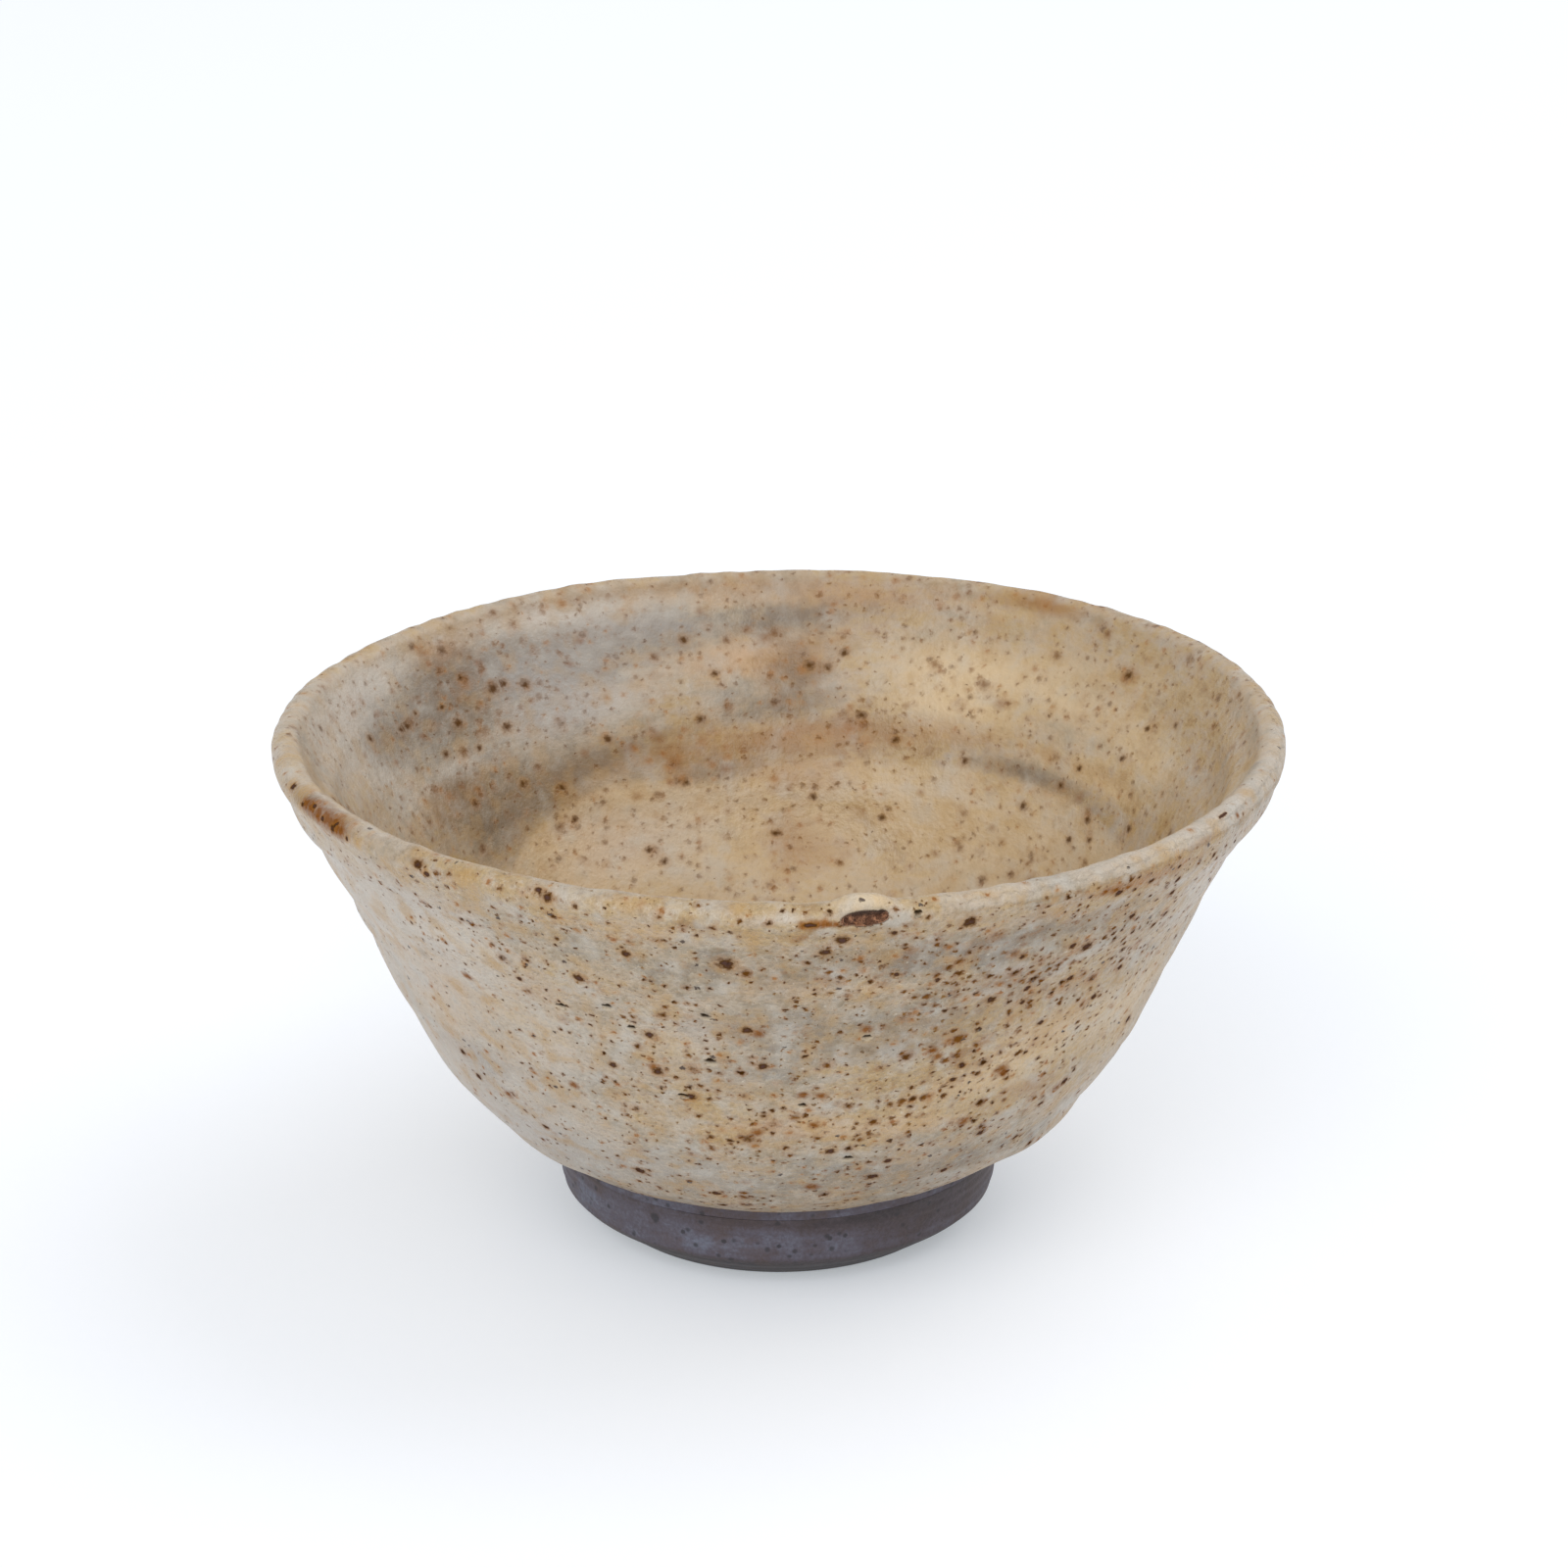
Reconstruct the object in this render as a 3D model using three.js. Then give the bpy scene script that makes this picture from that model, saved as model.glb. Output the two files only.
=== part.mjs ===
// Gongfu teacup: a wheel-thrown stoneware bowl luted onto a turned foot ring, under two coats of
// ash glaze. The first coat is dipped: it covers the outside, rolls over the lip and ends a little
// way down the inside. The second is poured: it covers the rest of the inside and the floor.
// Millimetres, +Z up. The origin is on the ground, at the middle of the foot.
import * as THREE from 'three';

const { degToRad, lerp, smoothstep } = THREE.MathUtils;

// Foot ring
const STANCE_RADIUS = 13.6; // outer edge of the flat face it stands on
const STANCE_WIDTH = 3.2; // that face, from its outer edge in to the recess
const RECESS_TAPER = 0.8; // how much the recess narrows on its way up
const RECESS_ARRIS = 0.4; // rubbed edge between the standing face and the recess
const CORNER_RADIUS = 17.6; // where the turned bevel would meet the foot's wall
const CORNER_HEIGHT = 2.9;
const CORNER_SOFTENING = 1.4; // how far the wiped corner runs along the bevel and the wall
const FOOT_HEIGHT = 6.8; // ground to the luted seat under the bowl
const SEAT_RADIUS = 18.2; // outer edge of that seat

// Bowl, measured on its finished, glazed surface
const UNDERCUT_RISE = 1.6; // seat to glaze line
const UNDERCUT_REACH = 1.5; // how far the glaze line stands out past the seat
const UNDERCUT_UPRIGHT = 1.4; // how far the groove rises from the seat before it turns out
const BELLY_SLOPE = degToRad(26); // wall above the ground plane where it leaves the glaze line
const BELLY_RISE = 15.6; // glaze line to flank
const FLANK_RADIUS = 31.6;
const FLANK_SLOPE = degToRad(68);
const FLARE_RISE = 18; // flank to the crest of the lip
const FLARE_SLOPE = degToRad(60.5);
const RIM_RADIUS = 40;
const LIP_THICKNESS = 2.3;
const WALL_AT_FLANK = 3.3;
const WALL_AT_FOOT = 4.4;
const FLOOR_THICKNESS = 4.4; // seat to finished floor

// Glaze coats
const GLAZE_THICKNESS = 0.4;
const GLAZE_SEAT_GAP = 0.05; // between a coat and the clay it sits on
const GLAZE_ROLL = 0.25; // rounded bead at the coat's lower edge
const DIP_OVER_LIP = 6; // crest of the lip down to where the dipped coat ends inside
const LAP_GAP = 0.1; // between the dipped and the poured coat

// Sway of a cup that was thrown by hand, as azimuths from the front (-Y) towards the right (+X)
const RIM_TILT = 0.21; // right of the lip above its middle
const LIP_WAVE = 0.33; // two rises and two dips around the lip
const LIP_WAVE_PEAK = degToRad(-55);
const OVAL = 0.15;
const OVAL_AXIS = degToRad(90);
const THROWING_PITCH = 8; // spiral ridge left by the fingers, per turn
const THROWING_DEPTH = 0.15; // of that ridge, either side of the wall's mean line
const THROWING_RUN = 5; // height over which the ridge grows from nothing, or dies away
const PLAIN_LIP = 1.7; // below the crest, with no ridge left

// Smoothness of the facets
const TURN_STEPS = 48;
const BELLY_STEPS = 7;
const FLARE_STEPS = 8;
const LIP_STEPS = 6;
const FLOOR_STEPS = 4;
const CORNER_STEPS = 3;

const glazeLineRadius = SEAT_RADIUS + UNDERCUT_REACH;
const glazeLineHeight = FOOT_HEIGHT + UNDERCUT_RISE;
const flankHeight = glazeLineHeight + BELLY_RISE;
const crestHeight = flankHeight + FLARE_RISE;
const floorHeight = FOOT_HEIGHT + FLOOR_THICKNESS;
const lipRadius = LIP_THICKNESS / 2;

const at = (r, z) => new THREE.Vector2(r, z);
const along = (slope) => at(Math.cos(slope), Math.sin(slope));
const outOf = (slope) => at(Math.sin(slope), -Math.cos(slope));

// A wall curve that leaves one point at a slope and reaches the next at another
function wallCurve(start, startSlope, end, endSlope) {
  const handle = start.distanceTo(end) / 3;
  const leaving = start.clone().addScaledVector(along(startSlope), handle);
  const reaching = end.clone().addScaledVector(along(endSlope), -handle);
  return new THREE.CubicBezierCurve(start, leaving, reaching, end);
}

const glazeLine = at(glazeLineRadius, glazeLineHeight);
const flank = at(FLANK_RADIUS, flankHeight);
const lipCentre = at(RIM_RADIUS - lipRadius, crestHeight - lipRadius);
const lipStart = lipCentre.clone().addScaledVector(outOf(FLARE_SLOPE), lipRadius);
const bellyCurve = wallCurve(glazeLine, BELLY_SLOPE, flank, FLANK_SLOPE);
const flareCurve = wallCurve(flank, FLANK_SLOPE, lipStart, FLARE_SLOPE);

// Point of the inside wall across from a point of the outside, as the wall thickens downwards
function acrossWall(curve, share, lowWall, highWall) {
  const tangent = curve.getTangent(share);
  const thickness = lerp(lowWall, highWall, smoothstep(share, 0, 1));
  return curve.getPoint(share).addScaledVector(at(tangent.y, -tangent.x), -thickness);
}

const shares = (steps) => Array.from({ length: steps }, (_, i) => (i + 1) / steps);

function outsideWall() {
  const belly = bellyCurve.getPoints(BELLY_STEPS);
  const flare = flareCurve.getPoints(FLARE_STEPS).slice(1);
  return [...belly, ...flare];
}

function lipRound() {
  return shares(LIP_STEPS).map((share) => {
    const turn = outOf(FLARE_SLOPE + Math.PI * share);
    return lipCentre.clone().addScaledVector(turn, lipRadius);
  });
}

function insideWall() {
  const flare = shares(FLARE_STEPS).map((s) => acrossWall(flareCurve, 1 - s, WALL_AT_FLANK, LIP_THICKNESS));
  const belly = shares(BELLY_STEPS).map((s) => acrossWall(bellyCurve, 1 - s, WALL_AT_FOOT, WALL_AT_FLANK));
  return [...flare, ...belly];
}

// Dished floor, level at its middle and running into the wall without a break
function floorRound(wallEnd) {
  const turnIn = at(wallEnd.x - (wallEnd.y - floorHeight) / Math.tan(BELLY_SLOPE), floorHeight);
  const dish = new THREE.QuadraticBezierCurve(wallEnd, turnIn, at(0, floorHeight));
  return dish.getPoints(FLOOR_STEPS).slice(1);
}

// Stations of the finished surface, from the glaze line over the lip to the middle of the floor.
// Each has the direction that points out of the wall there.
function finishedStations() {
  const inside = insideWall();
  const points = [...outsideWall(), ...lipRound(), ...inside, ...floorRound(inside.at(-1))];
  const last = points.length - 1;
  return points.map((point, i) => {
    const chord = points[Math.min(i + 1, last)].clone().sub(points[Math.max(i - 1, 0)]);
    const outward = i === last ? at(0, 1) : at(chord.y, -chord.x).normalize();
    return { point, outward };
  });
}

const stations = finishedStations();
const crest = BELLY_STEPS + FLARE_STEPS + LIP_STEPS / 2;

// Index of the first inside station below a height, and the station exactly at that height
function cutInside(height) {
  const below = stations.findIndex(({ point }, i) => i > crest && point.y < height);
  const [upper, lower] = [stations[below - 1], stations[below]];
  const share = (upper.point.y - height) / (upper.point.y - lower.point.y);
  const point = upper.point.clone().lerp(lower.point, share);
  const outward = upper.outward.clone().lerp(lower.outward, share);
  return { below, station: { point, outward } };
}

// Profile points at a depth under the finished surface. Each keeps the finished point above it,
// so that a coat and the clay under it sway alike.
function atDepth(run, depth) {
  return run.map(({ point, outward }) => {
    const { x: r, y: z } = point.clone().addScaledVector(outward, -depth);
    return { r, z, finished: point };
  });
}

const fixed = (r, z) => ({ r, z, finished: null });

// Shift outwards and upwards that throwing and firing gave a finished point
function sway(finished, azimuth) {
  const reach = finished.x / RIM_RADIUS;
  const rise = (finished.y - glazeLineHeight) / (crestHeight - glazeLineHeight);
  const wave = Math.cos(2 * (azimuth - LIP_WAVE_PEAK));
  const oval = Math.cos(2 * (azimuth - OVAL_AXIS));
  const ridge = Math.sin((2 * Math.PI * finished.y) / THROWING_PITCH - azimuth);
  const plainHeight = crestHeight - PLAIN_LIP;
  const growing = smoothstep(finished.y, glazeLineHeight, glazeLineHeight + THROWING_RUN);
  const dying = smoothstep(finished.y, plainHeight - THROWING_RUN, plainHeight);
  return {
    out: reach * (rise * OVAL * oval + growing * (1 - dying) * THROWING_DEPTH * ridge),
    up: reach * rise * (RIM_TILT * Math.sin(azimuth) + LIP_WAVE * wave),
  };
}

// Turns a profile about the axis and sways it
function thrown(profile) {
  const outline = profile.map(({ r, z }) => at(r, z));
  const geometry = new THREE.LatheGeometry(outline, TURN_STEPS).rotateX(Math.PI / 2);
  const position = geometry.getAttribute('position');
  for (let i = 0; i < position.count; i += 1) {
    const { r, z, finished } = profile[i % profile.length];
    if (finished) {
      const azimuth = (2 * Math.PI * Math.floor(i / profile.length)) / TURN_STEPS;
      const { out, up } = sway(finished, azimuth);
      position.setXYZ(i, (r + out) * Math.sin(azimuth), -(r + out) * Math.cos(azimuth), z + up);
    }
  }
  return geometry;
}

// Points round a corner, as far from it as the softening or, on a short side, the side allows
function softened(before, corner, after) {
  const towards = (end) => {
    const side = end.clone().sub(corner);
    const run = Math.min(CORNER_SOFTENING, side.length() / 2);
    return corner.clone().addScaledVector(side.normalize(), run);
  };
  return new THREE.QuadraticBezierCurve(towards(before), corner, towards(after)).getPoints(CORNER_STEPS);
}

function footRing() {
  const stance = at(STANCE_RADIUS, 0);
  const seat = at(SEAT_RADIUS, FOOT_HEIGHT);
  const recessRadius = STANCE_RADIUS - STANCE_WIDTH;
  const wall = softened(stance, at(CORNER_RADIUS, CORNER_HEIGHT), seat);
  const section = [
    at(recessRadius + RECESS_ARRIS, 0),
    stance,
    ...wall,
    seat,
    at(recessRadius - RECESS_TAPER, FOOT_HEIGHT),
    at(recessRadius, RECESS_ARRIS),
    at(recessRadius + RECESS_ARRIS, 0),
  ];
  return thrown(section.map(({ x, y }) => fixed(x, y)));
}

function clayBowl() {
  const clay = atDepth(stations, GLAZE_THICKNESS + GLAZE_SEAT_GAP);
  const seat = at(SEAT_RADIUS, FOOT_HEIGHT);
  const edge = at(clay[0].r, clay[0].z);
  const turnOut = at(SEAT_RADIUS, FOOT_HEIGHT + UNDERCUT_UPRIGHT);
  const groove = new THREE.QuadraticBezierCurve(seat, turnOut, edge);
  const undercut = groove.getPoints(CORNER_STEPS).slice(0, -1).map(({ x, y }) => fixed(x, y));
  return thrown([fixed(0, FOOT_HEIGHT), ...undercut, ...clay]);
}

function dippedCoat() {
  const cut = cutInside(crestHeight - DIP_OVER_LIP);
  const run = [...stations.slice(0, cut.below), cut.station];
  const skin = atDepth(run, 0);
  const bed = atDepth(run, GLAZE_THICKNESS).reverse();
  const [bead] = atDepth(run.slice(0, 1), GLAZE_THICKNESS / 2);
  bead.r -= GLAZE_ROLL * Math.cos(BELLY_SLOPE);
  bead.z -= GLAZE_ROLL * Math.sin(BELLY_SLOPE);
  return thrown([...skin, ...bed, bead, skin[0]]);
}

function pouredCoat() {
  const cut = cutInside(crestHeight - DIP_OVER_LIP - LAP_GAP);
  const run = [cut.station, ...stations.slice(cut.below)];
  const bed = atDepth(run, GLAZE_THICKNESS).reverse();
  return thrown([...bed, ...atDepth(run, 0)]);
}

function finish(color, roughness) {
  return new THREE.MeshStandardMaterial({ color, roughness, metalness: 0 });
}

function piece(name, geometry, material) {
  const mesh = new THREE.Mesh(geometry, material);
  mesh.name = name;
  return mesh;
}

const cup = new THREE.Group();
cup.add(piece('foot_ring', footRing(), finish('#5d5861', 0.8)));
cup.add(piece('clay_bowl', clayBowl(), finish('#6b5f5a', 0.85)));
cup.add(piece('outer_glaze', dippedCoat(), finish('#ad9a83', 0.4)));
cup.add(piece('inner_glaze', pouredCoat(), finish('#b0956f', 0.4)));

export default cup;
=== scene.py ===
# %% [markdown]
# # A gongfu teacup of glazed stoneware
# The cup is a small flared bowl, thrown on a wheel and set on a turned foot. Ash glaze covers it
# inside and out, full of iron specks and pinholes; the foot is bare, dark clay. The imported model
# gives the sizes and the body that every piece rides on, and the lesson dresses it piece by piece.

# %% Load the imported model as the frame
import math

import bpy
import numpy as np
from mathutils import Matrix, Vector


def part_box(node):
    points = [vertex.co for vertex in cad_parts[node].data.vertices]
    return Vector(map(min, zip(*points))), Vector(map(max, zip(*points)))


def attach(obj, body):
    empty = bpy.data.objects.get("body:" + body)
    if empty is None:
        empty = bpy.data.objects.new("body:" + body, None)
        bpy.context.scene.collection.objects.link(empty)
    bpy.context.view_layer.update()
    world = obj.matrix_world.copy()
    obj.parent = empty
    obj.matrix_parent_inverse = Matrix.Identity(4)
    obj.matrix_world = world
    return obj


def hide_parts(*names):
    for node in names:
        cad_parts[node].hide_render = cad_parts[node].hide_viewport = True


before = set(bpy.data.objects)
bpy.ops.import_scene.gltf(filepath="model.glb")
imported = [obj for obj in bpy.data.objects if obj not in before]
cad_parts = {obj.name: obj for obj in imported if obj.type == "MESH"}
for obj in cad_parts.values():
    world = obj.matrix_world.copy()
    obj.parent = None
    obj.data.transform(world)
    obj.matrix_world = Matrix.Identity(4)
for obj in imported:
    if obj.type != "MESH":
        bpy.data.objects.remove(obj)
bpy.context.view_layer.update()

MM = 0.001

# %% [markdown]
# ## The wall's outline
# A thrown wall is one smooth sweep: it leaves the foot at a low slope, climbs through the belly and
# flares a little under the lip. Two cubic curves with known slopes at their ends give that sweep
# with very few numbers, and the lip is half a circle that touches both sides of the wall. Points
# picked one by one would make a lumpy wall, so a formula is used for every stretch.

# %% Sizes of the outline, in millimetres
foot_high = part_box("foot_ring")[1] / MM
SEAT_RADIUS, SEAT_HEIGHT = foot_high.x, foot_high.z
GLAZE_LINE_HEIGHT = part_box("outer_glaze")[0].z / MM
GLAZE_OVERHANG, BELLY_RISE, FLARE_RISE, FLOOR_THICKNESS = 1.5, 15.6, 18.0, 4.4
FLANK_RADIUS, RIM_RADIUS = 31.6, 40.0
FLANK_HEIGHT = GLAZE_LINE_HEIGHT + BELLY_RISE
CREST_HEIGHT = FLANK_HEIGHT + FLARE_RISE
FLOOR_HEIGHT = SEAT_HEIGHT + FLOOR_THICKNESS
LIP_THICKNESS, WALL_AT_FLANK, WALL_AT_FOOT = 2.3, 3.3, 4.4
BELLY_SLOPE, FLANK_SLOPE, FLARE_SLOPE = np.radians([26.0, 68.0, 60.5])
print("crest", round(CREST_HEIGHT, 2), "mm and floor", round(FLOOR_HEIGHT, 2), "mm above the table")


# %% Curves and steps
def sweep(start, start_slope, end, end_slope, share):
    """Points of a cubic curve with handles a third of its chord long, and its direction there."""
    handle = np.linalg.norm(end - start) / 3
    leave = start + handle * np.array([math.cos(start_slope), math.sin(start_slope)])
    arrive = end - handle * np.array([math.cos(end_slope), math.sin(end_slope)])
    t = share[:, None]
    point = (1 - t) ** 3 * start + 3 * (1 - t) ** 2 * t * leave + 3 * (1 - t) * t**2 * arrive + t**3 * end
    along = (1 - t) ** 2 * (leave - start) + 2 * (1 - t) * t * (arrive - leave) + t**2 * (end - arrive)
    return point, along / np.linalg.norm(along, axis=1, keepdims=True)


def across(point, along, thickness):
    """The points on the other side of the wall, one wall thickness in from the outside."""
    return point - thickness[:, None] * np.stack([along[:, 1], -along[:, 0]], 1)


def smooth(low, high, value):
    """An S-shaped step from 0 at low to 1 at high."""
    t = np.clip((value - low) / (high - low), 0, 1)
    return t * t * (3 - 2 * t)


def band(value, start, full, fade, end):
    """1 from full to fade, with a soft step up to it from start and a soft step down from it to end."""
    return smooth(start, full, value) * (1 - smooth(fade, end, value))


# %% The outside of the wall and the lip
BELLY_ROWS, FLARE_ROWS, LIP_ROWS, FLOOR_ROWS = 60, 58, 24, 40
glaze_line = np.array([SEAT_RADIUS + GLAZE_OVERHANG, GLAZE_LINE_HEIGHT])
flank = np.array([FLANK_RADIUS, FLANK_HEIGHT])
lip_radius = LIP_THICKNESS / 2
lip_centre = np.array([RIM_RADIUS - lip_radius, CREST_HEIGHT - lip_radius])
lip_turn = FLARE_SLOPE + np.pi * np.linspace(0, 1, LIP_ROWS + 1)
lip = lip_centre + lip_radius * np.stack([np.sin(lip_turn), -np.cos(lip_turn)], 1)
belly_share = np.linspace(0, 1, BELLY_ROWS)
flare_share = np.linspace(0, 1, FLARE_ROWS + 1)[1:]
belly, belly_along = sweep(glaze_line, BELLY_SLOPE, flank, FLANK_SLOPE, belly_share)
flare, flare_along = sweep(flank, FLANK_SLOPE, lip[0], FLARE_SLOPE, flare_share)

# %% The inside of the wall and the dished floor
flare_wall = WALL_AT_FLANK + (LIP_THICKNESS - WALL_AT_FLANK) * smooth(0, 1, flare_share)
belly_wall = WALL_AT_FOOT + (WALL_AT_FLANK - WALL_AT_FOOT) * smooth(0, 1, belly_share)
inside = np.vstack([across(belly, belly_along, belly_wall), across(flare, flare_along, flare_wall)])
inside = inside[::-1][1:]
wall_end = inside[-1]
floor_run = (wall_end[1] - FLOOR_HEIGHT) / math.tan(BELLY_SLOPE)
floor_bend = np.array([wall_end[0] - floor_run, FLOOR_HEIGHT])
floor_middle = np.array([0, FLOOR_HEIGHT])
t = np.linspace(0, 1, FLOOR_ROWS + 1)[1:-1, None]
dish = (1 - t) ** 2 * wall_end + 2 * (1 - t) * t * floor_bend + t**2 * floor_middle

# %% The finished outline, its directions and the way along it
finished = np.vstack([belly, flare, lip[1:], inside, dish])
heading = np.gradient(finished, axis=0)
heading /= np.linalg.norm(heading, axis=1, keepdims=True)
outward = np.stack([heading[:, 1], -heading[:, 0]], 1)
path = np.concatenate([[0], np.cumsum(np.linalg.norm(np.diff(finished, axis=0), axis=1))])
crest_row, last_row = int(np.argmax(finished[:, 1])), len(finished)
past_crest = path - path[crest_row]
print("outline:", last_row, "points,", path[-1].round(1), "mm long, crest", finished[crest_row].round(2))

# %% [markdown]
# ## From an outline to a mesh
# Each piece is its outline carried round the axis. The grid has one row per outline point and one
# column per azimuth, and the last column joins the first. A ring closes on itself in the other
# direction too; a bowl or a disc closes at a pole. Azimuth is counted from the front, -Y, towards
# the right, +X. Blender's Spin or Screw could turn an outline, but arrays also let every point of
# the surface be shifted by a formula, which is what makes the cup look thrown by hand.


# %% A grid of points becomes a piece
def turned(radius, azimuth, height):
    """Points at a radius from the axis, an azimuth from the front and a height."""
    return np.stack([radius * np.sin(azimuth), -radius * np.cos(azimuth), height + 0 * azimuth], -1)


def make_piece(name, points, attributes, poles=()):
    """A mesh from a grid in millimetres. Without poles the last row joins the first, as on a ring;
    with two poles, the first and the last row close onto those points."""
    rows, columns = points.shape[:2]
    index = np.arange(rows * columns).reshape(rows, columns)
    beside = np.roll(index, -1, 1)
    quads = np.stack([index, beside, np.roll(beside, -1, 0), np.roll(index, -1, 0)], -1)
    fans = []
    if len(poles):
        quads = quads[:-1]
        first, last = np.full(columns, index.size), np.full(columns, index.size + 1)
        fans = [np.stack([first, beside[0], index[0]], -1), np.stack([index[-1], beside[-1], last], -1)]
    mesh = bpy.data.meshes.new(name)
    corners = [face for block in (quads.reshape(-1, 4), *fans) for face in block.tolist()]
    mesh.from_pydata((np.vstack([points.reshape(-1, 3), *poles]) * MM).tolist(), [], corners)
    for label, values in attributes.items():
        ends = [values[0, :1], values[-1, :1]] if len(poles) else []
        layer = mesh.attributes.new(label, "FLOAT", "POINT")
        layer.data.foreach_set("value", np.concatenate([values.ravel(), *ends]).astype(np.float32))
    mesh.shade_smooth()
    piece = bpy.data.objects.new(name, mesh)
    bpy.context.scene.collection.objects.link(piece)
    print(f"{name}: {2 * quads.size // 4 + sum(map(len, fans))} triangles")
    return piece


def crease(piece, row, columns):
    """Keeps the shading of the two sides of a row apart, where a piece ends in a square edge."""
    ends = np.zeros(2 * len(piece.data.edges), np.int32)
    piece.data.edges.foreach_get("vertices", ends)
    on_row = np.isin(ends.reshape(-1, 2), np.arange(columns) + row * columns).all(1)
    piece.data.attributes.new("sharp_edge", "BOOLEAN", "EDGE").data.foreach_set("value", on_row)


# %% [markdown]
# ## The sway of hand throwing
# No thrown cup is quite round. This one's lip tilts up to the right by a fifth of a millimetre,
# rises and dips twice around, and is a little oval; the fingers left a spiral of soft ridges, and
# slow lumps run through the wall. It could be sculpted, but then the clay and the two coats would
# each need the same strokes. As formulas of azimuth and height it moves all of them together.


# %% Places round the cup
def aside(azimuth, middle, radius=1.0):
    """Distance round the cup from a middle azimuth in degrees, at a radius in millimetres."""
    return ((azimuth - math.radians(middle) + np.pi) % (2 * np.pi) - np.pi) * radius


def bells(azimuth, spots, power=2):
    """A sum of bells round the cup, each with its middle and half-width in degrees, and its size."""
    total = 0
    for middle, width, size in spots:
        total = total + size * np.exp(-((aside(azimuth, middle) / math.radians(width)) ** power))
    return total


def washed(azimuth, height, spots):
    """A sum of soft ovals, each a bell in azimuth times a bell in height."""
    total = np.zeros(np.broadcast_shapes(azimuth.shape, height.shape))
    for middle, level, half_turn, half_rise, strength in spots:
        turn = aside(azimuth, middle, math.degrees(1)) / half_turn
        total += strength * np.exp(-(turn**2) - ((height - level) / half_rise) ** 2)
    return total


def columns_towards(count, spots):
    """Azimuths that lie closest together at each spot: the running total of a density of 1 plus
    flat-topped bells, cut into equal parts."""
    fine = np.linspace(-np.pi, np.pi, 7201)
    density = 1 + bells(fine, spots, power=4)
    total = np.concatenate([[0], np.cumsum((density[1:] + density[:-1]) / 2)])
    return np.interp(np.arange(count) / count, total / total[-1], fine)


# %% Ridges and lumps
RIDGES = [(8.0, 1, 0.13, 0.0), (3.4, 2, 0.025, 1.1)]  # pitch in mm, turns, depth in mm, phase
RIDGES_GROW, RIDGES_FADE, PLAIN_LIP = 5.0, 6.7, 1.7
LUMP_COUNT, LUMP_DEPTH = 40, 0.025
lump_draw = np.random.default_rng(11)
LUMP_TURNS = lump_draw.integers(2, 26, LUMP_COUNT)
LUMP_LENGTHS = lump_draw.uniform(6.0, 24.0, LUMP_COUNT)
LUMP_PHASES = lump_draw.uniform(0, 2 * np.pi, LUMP_COUNT)


def lumps(azimuth, way):
    """A sum of waves, each with a whole number of turns round the cup and a length along the wall."""
    total = 0
    for turns, length, phase in zip(LUMP_TURNS, LUMP_LENGTHS, LUMP_PHASES):
        total = total + np.cos(turns * azimuth + 2 * np.pi * way / length + phase) / math.sqrt(turns)
    return LUMP_DEPTH * total


def ridges(azimuth, height):
    """Spiral finger ridges: waves up the wall that climb one pitch for each turn round it."""
    total = 0
    for pitch, turns, depth, phase in RIDGES:
        total = total + depth * np.sin(2 * np.pi * height / pitch - turns * azimuth + phase)
    return total * band(
        height, GLAZE_LINE_HEIGHT, GLAZE_LINE_HEIGHT + RIDGES_GROW,
        CREST_HEIGHT - RIDGES_FADE, CREST_HEIGHT - PLAIN_LIP,
    )


# %% Sway
RIM_TILT, LIP_WAVE, OVAL = 0.21, 0.33, 0.15
LIP_WAVE_PEAK, OVAL_AXIS = np.radians([-55.0, 90.0])
LIP_LIFTS = [(212, 22, 0.28), (138, 20, -0.24)]


def swayed(rows, azimuth, depth=0.0, slip=0.0):
    """Rows of the finished outline turned to a grid: shifted a depth under the glaze's face and a
    slip along the outline, then out and up by the sway."""
    radius = finished[rows, :1] - depth * outward[rows, :1] + slip * heading[rows, :1]
    height = finished[rows, 1:] - depth * outward[rows, 1:] + slip * heading[rows, 1:]
    reach = finished[rows, :1] / RIM_RADIUS
    level = finished[rows, 1:]
    rise = (level - GLAZE_LINE_HEIGHT) / (CREST_HEIGHT - GLAZE_LINE_HEIGHT)
    wave = LIP_WAVE * np.cos(2 * (azimuth - LIP_WAVE_PEAK))
    up = reach * rise * (RIM_TILT * np.sin(azimuth) + wave + bells(azimuth, LIP_LIFTS))
    out = reach * (rise * OVAL * np.cos(2 * (azimuth - OVAL_AXIS)) + ridges(azimuth, level))
    return turned(radius + out, azimuth, height + up)


# %% [markdown]
# ## The blister on the lip
# A gas bubble burst in the glaze on the front of the lip while it was molten. It left a raised cap
# of cream glaze and, just under it, a small torn mouth that shows brown clay. A Boolean cut would
# leave a hard, thin edge, so both are relief on the glaze grid: the cap is a flat-topped hill, the
# mouth a squarish ellipse with steep sides, a torn lower edge and a knob at its right end.

# %% Relief of the blister
BLISTER_AZIMUTH = 8.9
MOUTH_BELOW_CREST, MOUTH_WIDTH, MOUTH_HEIGHT, MOUTH_DEPTH, MOUTH_TILT = 1.64, 3.7, 1.30, 0.65, 0.05
MOUTH_SQUARENESS, MOUTH_BANK = 2.4, 0.35
TORN_EDGE = [(2.9, 0.12, 0.6), (7.3, 0.06, -1.0)]  # radians per mm, share of the height, phase
KNOB_ASIDE, KNOB_RISE, KNOB_RADIUS = 1.35, 0.12, 0.52
CAP_ABOVE_MOUTH, CAP_WIDTH, CAP_RUN, CAP_HEIGHT = 1.5, 4.1, 1.9, 0.62


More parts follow.
